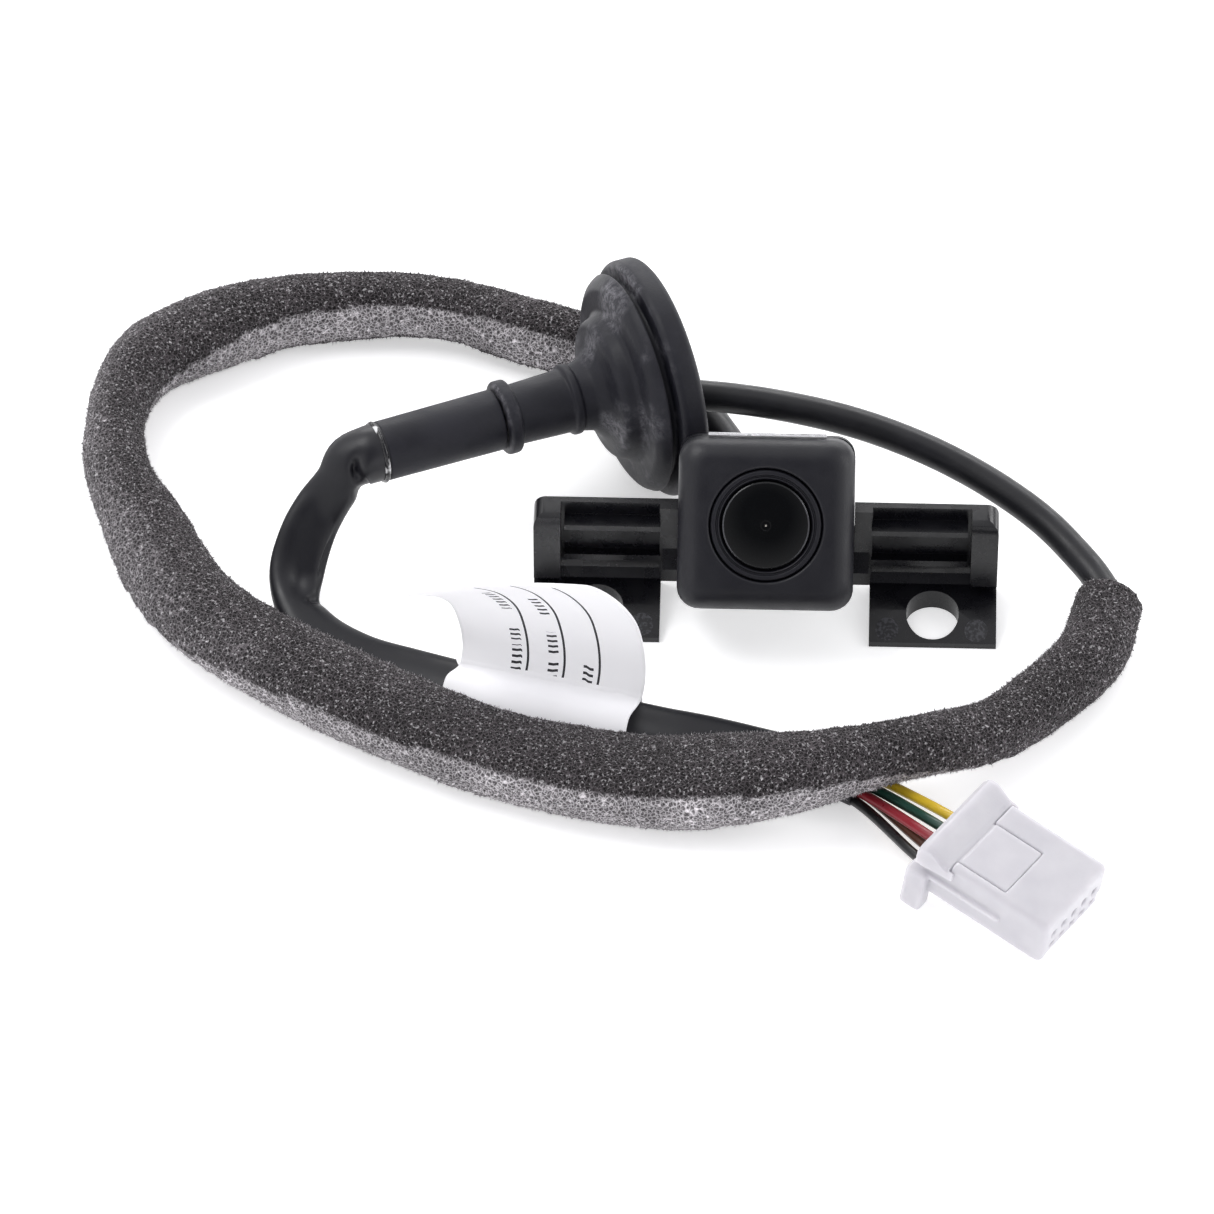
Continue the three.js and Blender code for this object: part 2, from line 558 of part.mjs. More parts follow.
function grommetBody() {
  return turned([
    [13.2, 0], [15.7, 0], [16.5, 0.6], [16.5, 3.1], [16.0, 3.8], [13.6, 3.8], [13.6, 5.0], [15.4, 5.0],
    [14.6, 6.2], [13.5, 6.9], [10.7, 7.1], [10.1, 7.6], [9.6, 9.0], [8.9, 9.6], [7.8, 9.8], [6.4, 10.3],
    [5.0, 11.5], [4.6, 13.3], [4.9, 13.6], [4.9, 14.5], [4.4, 14.8], [4.15, 22.3], [5.1, 22.5], [5.1, 24.0],
    [4.7, GROMMET_LENGTH], [2.7, GROMMET_LENGTH], [2.7, 11.4], [6.0, 8.6], [8.4, 7.0], [8.6, 5.9],
    [11.6, 5.2],
  ], 28);
}

function grommetGroup() {
  const group = new THREE.Group();
  group.position.copy(GROMMET_MOUTH);
  group.quaternion.setFromUnitVectors(new THREE.Vector3(0, 0, 1), GROMMET_AXIS);
  const sleeve = turned([
    [2.6, SLEEVE_START], [SLEEVE_RADIUS, SLEEVE_START], [SLEEVE_RADIUS - 0.1, SLEEVE_END], [2.6, SLEEVE_END],
  ], 28);
  const beadStart = SLEEVE_END + GAP;
  const bead = turned([
    [2.8, beadStart], [4.0, beadStart], [4.1, beadStart + BEAD_WIDTH / 2], [4.0, beadStart + BEAD_WIDTH],
    [2.8, beadStart + BEAD_WIDTH],
  ], 28);
  group.add(piece('grommet', grommetBody(), 'rubber'));
  group.add(piece('seal_sleeve', sleeve, 'rubber'));
  group.add(piece('adhesive_bead', bead, 'glue'));
  return group;
}

// ---------------------------------------------------------------- harness tube, label and wires
const TUBE_START = SLEEVE_END + 3 * GAP + BEAD_WIDTH;
const TUBE_ROUTE = [
  [-55.8, 8.3, 16.6], [-57.6, 6.6, 14.4], [-60.2, 4.6, 11.0], [-61.9, 2.2, 8.4], [-63.2, -1.4, 5.0],
  [-62.9, -5.6, 3.0], [-60.4, -9.8, 2.5], [-54.8, -14.8, TUBE_REST], [-47.4, -17.8, TUBE_REST],
  [-29.4, -23.4, TUBE_REST], [-14.9, -27.3, TUBE_REST], [-6.7, -28.8, 2.2], [1.5, -30.8, 1.8],
  [9.7, -33.8, 1.75], [16.2, -37.6, 1.75],
];

function harnessTube() {
  const shape = ovalShape(TUBE_HALF_WIDTH, TUBE_HALF_HEIGHT, 12);
  const fromMouthEnd = [grommetPoint(TUBE_START), ...TUBE_ROUTE].reverse();
  return swept(shape, fromMouthEnd, 18);
}

function ribbonShape(centreLine, thickness) {
  const left = [];
  const right = [];
  centreLine.forEach((point, i) => {
    const before = centreLine[Math.max(i - 1, 0)];
    const after = centreLine[Math.min(i + 1, centreLine.length - 1)];
    const along = after.clone().sub(before).normalize();
    const across = new THREE.Vector2(-along.y, along.x).multiplyScalar(thickness / 2);
    left.push(point.clone().add(across));
    right.push(point.clone().sub(across));
  });
  return new THREE.Shape([...left, ...right.reverse()]);
}

// The flag behind the tube, as [away from the front, up] from the tube's centre.
const FLAG_CURL = [
  [3.4, 3.0], [3.0, 5.6], [2.7, 8.6], [2.0, 12.2], [1.0, 16.0], [-0.6, 19.4], [-3.0, 22.6], [-5.8, 25.6],
];

// The label wraps under and over the tube and stands up behind it as a flag that curls back over.
function harnessLabel() {
  const wrapWide = TUBE_HALF_WIDTH + GAP + LABEL_THICKNESS / 2;
  const wrapHigh = TUBE_HALF_HEIGHT + GAP + LABEL_THICKNESS / 2;
  const centreLine = [];
  for (let degrees = 300; degrees >= 60; degrees -= 20) {
    const angle = THREE.MathUtils.degToRad(degrees);
    centreLine.push(new THREE.Vector2(wrapWide * Math.cos(angle), wrapHigh * Math.sin(angle)));
  }
  FLAG_CURL.forEach(([forward, up]) => centreLine.push(new THREE.Vector2(forward, up)));
  const geometry = new THREE.ExtrudeGeometry(ribbonShape(centreLine, LABEL_THICKNESS), {
    depth: LABEL_WIDTH,
    bevelEnabled: false,
  }).translate(0, 0, -LABEL_WIDTH / 2);
  const heading = THREE.MathUtils.degToRad(LABEL_HEADING);
  const across = new THREE.Vector3(-Math.sin(heading), Math.cos(heading), 0);
  const along = new THREE.Vector3(Math.cos(heading), Math.sin(heading), 0);
  const turn = new THREE.Matrix4().makeBasis(across, new THREE.Vector3(0, 0, 1), along);
  return geometry.applyMatrix4(turn).translate(...LABEL_CENTRE.toArray());
}

// ---------------------------------------------------------------- connector
const CONNECTOR_TURN = new THREE.Euler(
  0, THREE.MathUtils.degToRad(CONNECTOR_PITCH), THREE.MathUtils.degToRad(CONNECTOR_HEADING), 'ZYX',
);

// Each wire: its colour, its place in the tube's mouth (across, up) and its cavity (column, row).
const WIRES = [
  { name: 'black', mouth: [-2.75, 1.1], column: -2, row: 0 },
  { name: 'brown', mouth: [-0.85, 0.95], column: -1, row: 0 },
  { name: 'red', mouth: [-1.7, 2.6], column: -1, row: 1 },
  { name: 'green', mouth: [0, 2.6], column: 0, row: 1 },
  { name: 'yellow', mouth: [1.8, 2.4], column: 1, row: 1 },
];

function columnAcross(column) {
  return column * CAVITY_PITCH;
}

function connectorPoint(along, across, z) {
  return new THREE.Vector3(along, across, z).applyEuler(CONNECTOR_TURN).add(CONNECTOR_CENTRE).toArray();
}

function wireGeometry(wire) {
  const end = TUBE_ROUTE[TUBE_ROUTE.length - 1];
  const before = TUBE_ROUTE[TUBE_ROUTE.length - 2];
  const heading = Math.atan2(end[1] - before[1], end[0] - before[0]);
  const across = [-Math.sin(heading), Math.cos(heading)];
  const out = [Math.cos(heading), Math.sin(heading)];
  const mouthPoint = (distance) => [
    end[0] + out[0] * distance + across[0] * wire.mouth[0],
    end[1] + out[1] * distance + across[1] * wire.mouth[0],
    wire.mouth[1],
  ];
  const rear = -CONNECTOR_LENGTH / 2;
  const height = CAVITY_ROWS[wire.row];
  const start = mouthPoint(GAP);
  const lead = mouthPoint(2.5);
  const approach = connectorPoint(rear - 3.5, columnAcross(wire.column), height);
  const middle = lead.map((value, i) => (value + approach[i]) / 2);
  const finish = connectorPoint(rear + 2, columnAcross(wire.column), height);
  const shape = ovalShape(WIRE_RADIUS, WIRE_RADIUS, 8);
  return swept(shape, [start, lead, middle, approach, finish], 5);
}

function connectorHousing() {
  const half = CONNECTOR_LENGTH / 2;
  const wide = CONNECTOR_WIDTH / 2;
  const shape = roundedRectangle(CONNECTOR_WIDTH, CONNECTOR_TOP - CONNECTOR_BASE, 0.7);
  const alongX = new THREE.Matrix4().makeBasis(
    new THREE.Vector3(0, 1, 0), new THREE.Vector3(0, 0, 1), new THREE.Vector3(1, 0, 0),
  );
  const body = new THREE.ExtrudeGeometry(shape, {
    depth: CONNECTOR_LENGTH,
    bevelEnabled: false,
    curveSegments: 3,
  }).applyMatrix4(alongX).translate(-half, 0, (CONNECTOR_TOP + CONNECTOR_BASE) / 2);
  const leg = box(
    -half - LEG.behind, -half + LEG.ahead, -wide - LEG.outside, -wide + LEG.inside, -LEG.depth, LEG.top,
  );
  const railBack = -half - RAIL.behind;
  const sideRail = box(
    railBack, railBack + RAIL.length, -wide - RAIL.outside, -wide + RAIL.inside, RAIL.low, RAIL.top,
  );
  const pocket = box(
    -half - 2, LEVER_ROOT + GAP, LEVER_OFFSET - LEVER_WIDTH / 2 - GAP, LEVER_OFFSET + LEVER_WIDTH / 2 + GAP,
    POCKET_FLOOR, CONNECTOR_TOP + 1,
  );
  const rearNotch = box(-half - 2, LEVER_REACH - GAP, -wide - 1, wide + 1, POCKET_FLOOR, CONNECTOR_TOP + 1);
  const retainerSlot = box(
    half - RETAINER.length - GAP, half + 1, -wide + RETAINER.near, wide + 1,
    CONNECTOR_BASE - 1, CONNECTOR_BASE + RETAINER.thickness + GAP,
  );
  const places = CAVITY_ROWS.flatMap((z) => CAVITY_COLUMNS.map((column) => [columnAcross(column), z]));
  const edge = CAVITY_SIZE / 2;
  const cavities = places.map(([y, z]) => (
    box(-half + CAVITY_BACK, half + 1, y - edge, y + edge, z - edge, z + edge)
  ));
  const wireHoles = places.map(([y, z]) => (
    rodZ(WIRE_HOLE_RADIUS, -half - 1, -half + CAVITY_BACK + 0.4, 0, 0, 10).rotateY(Math.PI / 2)
      .translate(0, y, z)
  ));
  return cut(join(body, leg, sideRail), pocket, rearNotch, retainerSlot, ...cavities, ...wireHoles);
}

function latchLever() {
  const half = CONNECTOR_LENGTH / 2;
  const wide = CONNECTOR_WIDTH / 2;
  const near = LEVER_OFFSET - LEVER_WIDTH / 2;
  const far = LEVER_OFFSET + LEVER_WIDTH / 2;
  const tongue = box(LEVER_REACH, LEVER_ROOT, near, far, LEVER_BOTTOM, CONNECTOR_TOP);
  const web = box(-half + 0.8, LEVER_REACH + 0.5, near, far, LEVER_BOTTOM, WEB_TOP);
  const lip = new THREE.ExtrudeGeometry(roundedRectangle(LIP.length, LIP.height, LIP.corner), {
    depth: CONNECTOR_WIDTH - 2 * LIP.inset,
    bevelEnabled: false,
    curveSegments: 4,
  }).rotateX(Math.PI / 2).translate(-half + 0.6, wide - LIP.inset, LIP.middle);
  return join(tongue, web, lip);
}

function connectorRetainer() {
  const half = CONNECTOR_LENGTH / 2;
  const wide = CONNECTOR_WIDTH / 2;
  return box(
    half - RETAINER.length, half - RETAINER.setback, -wide + RETAINER.near + GAP, wide - RETAINER.far,
    CONNECTOR_BASE, CONNECTOR_BASE + RETAINER.thickness,
  );
}

function connectorGroup() {
  const half = CONNECTOR_LENGTH / 2;
  const group = new THREE.Group();
  group.position.copy(CONNECTOR_CENTRE);
  group.rotation.copy(CONNECTOR_TURN);
  group.add(piece('connector_housing', connectorHousing(), 'nylon'));
  group.add(piece('latch_lever', latchLever(), 'nylon'));
  group.add(piece('connector_retainer', connectorRetainer(), 'nylon'));
  WIRES.forEach((wire) => {
    const y = columnAcross(wire.column);
    const z = CAVITY_ROWS[wire.row];
    const edge = TERMINAL_SIZE / 2;
    const barrel = box(-half + 3.4, half - 4, y - edge, y + edge, z - edge, z + edge);
    const socket = box(half - 8, half - 3, y - edge / 2, y + edge / 2, z - edge / 2, z + edge / 2);
    group.add(piece(`terminal_${wire.name}`, cut(barrel, socket), 'tin'));
  });
  return group;
}

// ---------------------------------------------------------------- assembly
const camera = new THREE.Group();
const stand = new THREE.Group();
stand.position.y = -STAND_SHIFT;
stand.add(cameraModule());
stand.add(piece('bracket', bracket(), 'bracketPlastic'));
camera.add(stand);
const cableShape = ovalShape(CABLE_RADIUS, CABLE_RADIUS, 10);
camera.add(piece('camera_cable', swept(cableShape, cableRoute(), 50), 'jacket'));
camera.add(piece('foam_sleeve', foamSleeve(), 'foam'));
camera.add(grommetGroup());
camera.add(piece('harness_tube', harnessTube(), 'vinyl'));
camera.add(piece('harness_label', harnessLabel(), 'paper'));
WIRES.forEach((wire) => camera.add(piece(`wire_${wire.name}`, wireGeometry(wire), wire.name)));
camera.add(connectorGroup());

export default camera;
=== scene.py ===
"""The looks of a vehicle backup camera: a tilted camera module in a winged bracket, with its foam-wrapped
cable, rubber grommet, flattened harness tube, label flag, wires and white connector. Metres, +Z up."""
import contextlib
import functools
from math import copysign, cos, degrees, exp, hypot, pi, radians, sin, sqrt

import bmesh
import bpy
import numpy as np
from mathutils import Matrix, Vector, noise
from numpy.linalg import norm


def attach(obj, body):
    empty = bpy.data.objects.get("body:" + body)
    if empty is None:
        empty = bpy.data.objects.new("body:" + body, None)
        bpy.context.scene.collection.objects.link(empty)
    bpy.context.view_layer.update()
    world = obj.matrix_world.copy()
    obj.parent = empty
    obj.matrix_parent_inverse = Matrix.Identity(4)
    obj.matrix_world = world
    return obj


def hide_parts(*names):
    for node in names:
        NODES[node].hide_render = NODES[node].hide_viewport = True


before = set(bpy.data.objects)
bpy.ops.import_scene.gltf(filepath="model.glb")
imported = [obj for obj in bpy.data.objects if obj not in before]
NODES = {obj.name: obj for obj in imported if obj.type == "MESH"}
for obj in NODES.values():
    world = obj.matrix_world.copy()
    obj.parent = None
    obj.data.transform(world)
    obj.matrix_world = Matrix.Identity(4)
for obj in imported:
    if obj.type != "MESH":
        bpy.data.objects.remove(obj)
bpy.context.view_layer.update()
MAIN = "camera_and_harness"
MM = 0.001

# ---- view, as in the photograph
VIEW_TURN = radians(1.6)
VIEW_RISE = radians(45)
VIEW_TARGET = Vector((-0.0213, -0.0019, 0.0))
VIEW_DISTANCE = 1.3
VIEW_WIDTH = 0.164

# ---- module and grommet frames, as in the CAD
LENS_ELEVATION = radians(41)
FACE_CENTRE = Vector((0, -5.846, 19.9)) * MM
MODULE_FRAME = Matrix.Translation(FACE_CENTRE) @ Matrix.Rotation(pi / 2 - LENS_ELEVATION, 4, "X")
MODULE_DEPTH = 12.3
GLAND_HEIGHT = 4.0
GROMMET_MOUTH = Vector((-14.3, 26.7, 16.6)) * MM
GROMMET_AXIS = Vector((-0.913, -0.407, 0.012)).normalized()
SLEEVE_START = 24.6
SLEEVE_END = 41.4

# ---- cord routes, millimetres
# The foam's route, with half its thickness as seen from above at 45 degrees, and the place of the sheet's cut
# edge in degrees round the cable, from the loop's outer side
FOAM_ROUTE = [
    (-23.7, 43.2, 5.2, 4.4, -150), (-33, 46.6, 5.2, 4.45, -148), (-45, 50.8, 5.2, 4.2, -146),
    (-57, 51.4, 5.2, 4.5, -142), (-69.5, 49, 5.2, 5, -135), (-79, 44.2, 5.2, 5.6, -125),
    (-86.2, 38.1, 5.2, 5.1, -112), (-89.4, 28.6, 5.2, 4.1, -95), (-88.6, 17.6, 5.2, 4.5, -70),
    (-84.2, 6.6, 5.2, 5.2, -35), (-76.5, -8.4, 5.2, 5.6, -5), (-67.8, -16.5, 5.2, 5.9, 12),
    (-51.3, -27, 5.2, 5.9, 22), (-35, -35, 5.2, 5.8, 25), (-18.5, -39.3, 5.2, 6.2, 26),
    (-6, -40.6, 6.6, 6.3, 26), (5.8, -40, 8.5, 5.2, 18), (14, -37.4, 8.5, 4.4, 8),
    (22, -34.4, 8, 4.15, -10), (30, -30, 6.4, 4.05, -35), (38, -21.8, 5.2, 4.4, -60),
    (43.8, -14, 5.2, 4.7, -75), (46.2, -4.8, 5.6, 4.6, -80),
]
LEAD_OUT = [
    (-0.3, 13.8, 8.6), (-1.2, 17, 6.8), (-2.8, 20.2, 5.9), (-4.8, 23.8, 5.7), (-6.8, 27.4, 5.8),
    (-9.4, 32, 5.8), (-13.6, 37.8, 5.6), (-18.6, 41.6, 5.3),
]
BARE_ROUTE = [
    (44.7, -0.7, 6), (41.9, 3.2, 6.8), (37.6, 8, 8), (31.9, 12.3, 9.5), (24.8, 16.4, 11),
    (17.8, 19.1, 12.5), (10.9, 20.7, 14), (4.1, 21.6, 15.2), (-3, 22.1, 16.2), (-11, 22.6, 16.6),
]
# The tube's route from the sleeve, with its half width, half height and roll in degrees at each point
TUBE_ROUTE = [
    (-55.8, 8.3, 16.6, 3.9, 3.2, 12), (-57.6, 6.6, 14.4, 3.3, 2.2, 28), (-60.2, 4.6, 11, 3.5, 1.6, 32),
    (-61.9, 2.2, 8.4, 3.7, 1.5, 26), (-63.2, -1.4, 5, 3.7, 1.6, 12), (-62.9, -5.6, 3, 3.1, 1.9, 2),
    (-60.4, -9.8, 2.5, 3.4, 1.8, 0), (-54.8, -14.8, 2.4, 4.2, 1.6, 0), (-47.4, -17.8, 2.4, 4.4, 1.6, 0),
    (-29.4, -23.4, 2.4, 4.3, 1.6, 0), (-14.9, -27.3, 2.4, 4.2, 1.6, 0), (-6.7, -28.8, 2.2, 3.9, 1.6, 0),
    (1.5, -30.8, 1.8, 3.8, 1.6, 0), (9.7, -33.8, 1.75, 3.8, 1.6, 0), (16.2, -37.6, 1.75, 3.8, 1.6, 0),
]
CABLE_RADIUS = 2.1
CABLE_STEP = 1.2
WIRE_RADIUS = 0.7
WIRE_STEP = 0.6
LOWEST = 0.15  # no skin of foam or tube comes nearer to the table than this

# ---- foam and tube skins, millimetres
FOAM_AROUND = 60
FOAM_STEP = 0.5
FOAM_FLATTEST = 4.9  # half the foam's height is never more than this
FOAM_CUT_ANGLE = 35  # half the angle that its cut edge takes up, in degrees
FOAM_BORE = 2.75
FOAM_BORE_SIDES = 20
FOAM_BORE_STRIDE = 4  # rings of the skin for each ring of the bore
FOAM_SPIKES = 42000
# How pale the foam is painted. Along the cut edge and on the outer left side the paleness is painted light:
# light off the table along the cut edge, side light on the left.
CUT_EDGE_LIT, END_PALE, BORE_PALE, LEFT_SIDE_LIT = 0.75, 0.9, 0.3, 0.34
# Where the tube's skin is pushed in: distance along it, angle round it, depth, half length and half angle
TUBE_DENTS = [
    (8.9, 128, 1.7, 1.2, 20), (11.2, 176, 0.8, 0.9, 40), (22.5, 150, 0.5, 4.0, 12), (27.4, 104, 0.8, 2.6, 30),
    (31.0, 140, 1.0, 1.2, 26),
]
TUBE_STEP = 0.5
TUBE_AROUND = 64
TUBE_TRIM = 6  # steps left off its far end, so that its mouth stays under the foam

# ---- label, millimetres
LABEL_SPAN = (-41.6, -17.2)  # the tube's X under the label's two edges
# The lines up the two sides of the flag, from the crease at its foot
LABEL_LEFT = [
    (-40.6, -19.9, 6.4), (-40.1, -19.2, 8.5), (-40.1, -18.9, 10.5), (-40.5, -19.3, 14), (-41.5, -20.4, 18.5),
    (-43.2, -22.1, 21.5), (-46, -25.5, 25), (-48.3, -28.4, 28),
]
LABEL_RIGHT = [
    (-16.2, -26, 6.5), (-15.7, -25.2, 8.5), (-15.6, -24.3, 11.5), (-16.1, -24, 16), (-17.2, -24.2, 20),
    (-19.8, -25, 24.5), (-23, -26.3, 28), (-26.9, -29.5, 31),
]
# The label's path round the tube: across it and up
LABEL_LOOP = [
    (-1.6, 3.4), (-3.7, 2.0), (-5.0, 0.2), (-3.6, -1.75), (0, -2.1), (3.6, -1.75), (5.0, 0.2), (3.9, 2.1),
    (2.0, 3.5),
]
LABEL_COLUMNS = 50
LABEL_STEP = 0.45
LABEL_THICKNESS = 0.14
LABEL_GAP = 0.22  # between the middles of its front and its back
LABEL_WIDTH = 25.0
LABEL_HIDDEN = 50.0  # a height off the printed front, for its back
# Its print, across it and up from its crease: ruled lines, and rows of plain strokes beside them
LABEL_RULES = [(9.0, 0.6, 24), (14.0, 0.6, 24), (18.8, 0.6, 24)]
LABEL_STROKES = [
    (9.0, 1.0, 4.9), (9.0, 5.8, 8.4), (9.0, 12.5, 19), (14.0, 1.0, 3.7), (14.0, 4.6, 8.6), (14.0, 12.0, 17),
    (18.8, 1.0, 3.4),
]
STROKE_PITCH = 0.95

# ---- grommet, module and bracket, millimetres
# The grommet's outline as (radius, height from its mouth)
GROMMET_PROFILE = [
    (13.2, 0), (15.7, 0), (16.5, 0.6), (16.5, 3.1), (16.0, 3.8), (13.6, 3.8), (13.6, 5.0), (15.4, 5.0),
    (14.6, 6.2), (13.5, 6.9), (10.7, 7.1), (10.1, 7.6), (9.6, 9.0), (8.9, 9.6), (7.8, 9.8), (6.4, 10.3),
    (5.0, 11.5), (4.6, 13.3), (4.9, 13.6), (4.9, 14.5), (4.4, 14.8), (4.15, 22.3), (5.1, 22.5),
    (5.1, 24.0), (4.7, 24.3), (2.7, 24.3), (2.7, 11.4), (6.0, 8.6), (8.4, 7.0), (8.6, 5.9), (11.6, 5.2),
]
FRONT_HALF = (11.8, 11.5)  # half the module's width and height
FRONT_EDGE = 3.2  # how far its front edge is rounded
FRONT_CORNER = 3.0
FRONT_WALL = 1.7
FRONT_BACK = -7.6
FRONT_SIDES = 128
LENS_RADIUS = 5.9
LENS_CROWN = 0.5
LENS_RIM = -0.25
EJECTOR_X = (16.5, 28.5)  # the ejector-pin discs' distances from the middle plane
EJECTOR_Y = -6.6
EJECTOR_RADIUS = 1.55
ARM_INNER, ARM_TOUCH = 12.1, 11.87  # the bracket's arms are brought in until they all but touch the module

# ---- connector, millimetres
# Its frame: x towards its mating end, y across, z up
CONNECTOR_FRAME = (
    Matrix.Translation(Vector((32.6, -55.1, 1.25)) * MM)
    @ Matrix.Rotation(radians(-34.5), 4, "Z")
    @ Matrix.Rotation(radians(8.5), 4, "Y")
)
CONNECTOR_HALF = 9.9
CONNECTOR_SIDE = 7.2  # half its width
CONNECTOR_BASE = 0.5
CONNECTOR_TOP = 8.2
CAVITY_PITCH = 2.3
CAVITY_ROWS = (2.5, 4.8)
CAVITY_COLUMNS = (-2, -1, 0, 1, 2)
LEVER_NEAR, LEVER_FAR = -5.6, 2.8  # the latch lever's sides, across the connector
LEVER_REACH, LEVER_ROOT = -5.2, 2.25
SLOT = 0.2  # the gap round the lever
POCKET_FLOOR = 6.0
RETAINER_LENGTH = 5.0
LIP_CREST = 0.5  # the crest's distance from the housing's back
LIP_HEIGHT, VALLEY_HEIGHT = 9.55, 7.95
LIP_RUN = 3.6  # how far it takes to fall from the crest to the valley
LIP_STEPS = 16
LIP_GAP = 0.15  # between a skirt and the side wall
LIP_OVERHANG = (0.75, 0.6)  # how far the lip's skirts stand outside the near and the far side wall
# Each wire: colour, place in the tube's mouth (across, up), cavity column and row
WIRES = [
    ("black", (-2.75, 1.1), -2, 0), ("brown", (-0.85, 0.95), -1, 0), ("red", (-1.7, 2.6), -1, 1),
    ("green", (0, 2.6), 0, 1), ("yellow", (1.8, 2.4), 1, 1),
]


# ---- lines and meshes
def on_grommet(distance):
    return GROMMET_MOUTH + GROMMET_AXIS * distance * MM


def catmull_rom(points, step):
    """Rows along a centripetal Catmull-Rom curve through rows of numbers, spaced evenly by their points."""
    rows = np.array(points, float)
    rows = np.vstack([2 * rows[0] - rows[1], rows, 2 * rows[-1] - rows[-2]])
    dense = []
    for a, b, c, d in zip(rows[:-3], rows[1:-2], rows[2:-1], rows[3:]):
        knots = [0.0]
        for p, q in ((a, b), (b, c), (c, d)):
            knots.append(knots[-1] + max(norm(q[:3] - p[:3]), 1e-9) ** 0.5)
        t0, t1, t2, t3 = knots
        t = np.linspace(t1, t2, 25)[:-1, None]

        def between(low, high, first, second):
            return ((high - t) * first + (t - low) * second) / (high - low)

        ab, bc, cd = between(t0, t1, a, b), between(t1, t2, b, c), between(t2, t3, c, d)
        dense.append(between(t1, t2, between(t0, t2, ab, bc), between(t1, t3, bc, cd)))
    dense = np.vstack([*dense, rows[-2]])
    along = np.concatenate([[0], np.cumsum(norm(np.diff(dense[:, :3], axis=0), axis=1))])
    count = max(2, round(along[-1] / step) + 1)
    even = np.linspace(0, along[-1], count)
    return np.column_stack([np.interp(even, along, dense[:, k]) for k in range(dense.shape[1])])


def turns(count):
    """Even angles round a circle, each with its cosine and sine."""
    angles = [2 * pi * n / count for n in range(count)]
    return [(angle, cos(angle), sin(angle)) for angle in angles]


def line_length(points):
    return float(norm(np.diff(np.array(points)[:, :3], axis=0), axis=1).sum())


def side_and_up(points):
    """At each point of a line, the level direction to its right and the one at right angles above."""
    tangents = np.gradient(points, axis=0)
    tangents /= norm(tangents, axis=1)[:, None]
    sides = np.cross(tangents, [0, 0, 1.0])
    sides /= norm(sides, axis=1)[:, None]
    return sides, np.cross(sides, tangents)


def linked(name, data):
    """A new object in the scene."""
    piece = bpy.data.objects.new(name, data)
    bpy.context.scene.collection.objects.link(piece)
    return piece


def new_object(name, mesh, material=None, smooth=True):
    piece = linked(name, mesh)
    if material:
        mesh.materials.append(material)
    if smooth:
        mesh.shade_smooth()
    return piece


def mesh_from(name, vertices, faces):
    mesh = bpy.data.meshes.new(name)
    mesh.from_pydata([tuple(v) for v in vertices], [], faces)
    mesh.update()
    return mesh


@contextlib.contextmanager
def editing(mesh):
    """The mesh as a bmesh, written back at the end."""
    work = bmesh.new()
    work.from_mesh(mesh)
    yield work
    work.to_mesh(mesh)
    work.free()


def outward(mesh):
    """Turns the mesh's faces outwards."""
    with editing(mesh) as work:
        bmesh.ops.recalc_face_normals(work, faces=work.faces)
    return mesh


def modify(piece, kind, **settings):
    made = piece.modifiers.new(kind.lower(), kind)
    for key, value in settings.items():
        setattr(made, key, value)


def store(mesh, name, values):
    """Keeps one number for each of the mesh's points, for its material to read."""
    attribute = mesh.attributes.new(name, "FLOAT", "POINT")
    attribute.data.foreach_set("value", np.ravel(values).astype(np.float32))


def band(here, there, size):
    """Faces between two rings of points, whose first points have these numbers."""
    return [(here + j, here + (j + 1) % size, there + (j + 1) % size, there + j) for j in range(size)]


def loop_faces(rings, size, closed):
    """Faces between rings of points, each of the given size, and back to the first ring where closed."""
    faces = []
    for i in range(rings if closed else rings - 1):
        faces += band(i * size, (i + 1) % rings * size, size)
    return faces


def capped_faces(rings, size):
    last = (rings - 1) * size
    return loop_faces(rings, size, False) + [tuple(range(size))[::-1], tuple(range(last, last + size))]


def lathe(name, profile, where, material, sides, wobble=0.0):
    """Turns a closed profile of (radius, height) in millimetres about z; wobble makes it a little uneven."""
    vertices = []
    for radius, height in profile:
        for angle, c, s in turns(sides):
            grown = radius * (1 + wobble * noise.noise(Vector((c, s, height * 0.2)) * 1.7))
            vertices.append(where @ (Vector((grown * c, grown * s, height)) * MM))
    mesh = mesh_from(name, vertices, loop_faces(len(profile), sides, True))
    return new_object(name, outward(mesh), material)


def rounded_profile(corners, radius):
    """A closed profile with each corner cut to a small arc."""
    points = [Vector(c) for c in corners]
    smooth = []
    for i, corner in enumerate(points):
        before = points[i - 1] - corner
        after = points[(i + 1) % len(points)] - corner
        reach = min(radius, before.length * 0.45, after.length * 0.45)
        start = corner + before.normalized() * reach
        end = corner + after.normalized() * reach
        for t in (0, 1 / 3, 2 / 3, 1):
            smooth.append(tuple((1 - t) ** 2 * start + 2 * t * (1 - t) * corner + t * t * end))
    return smooth


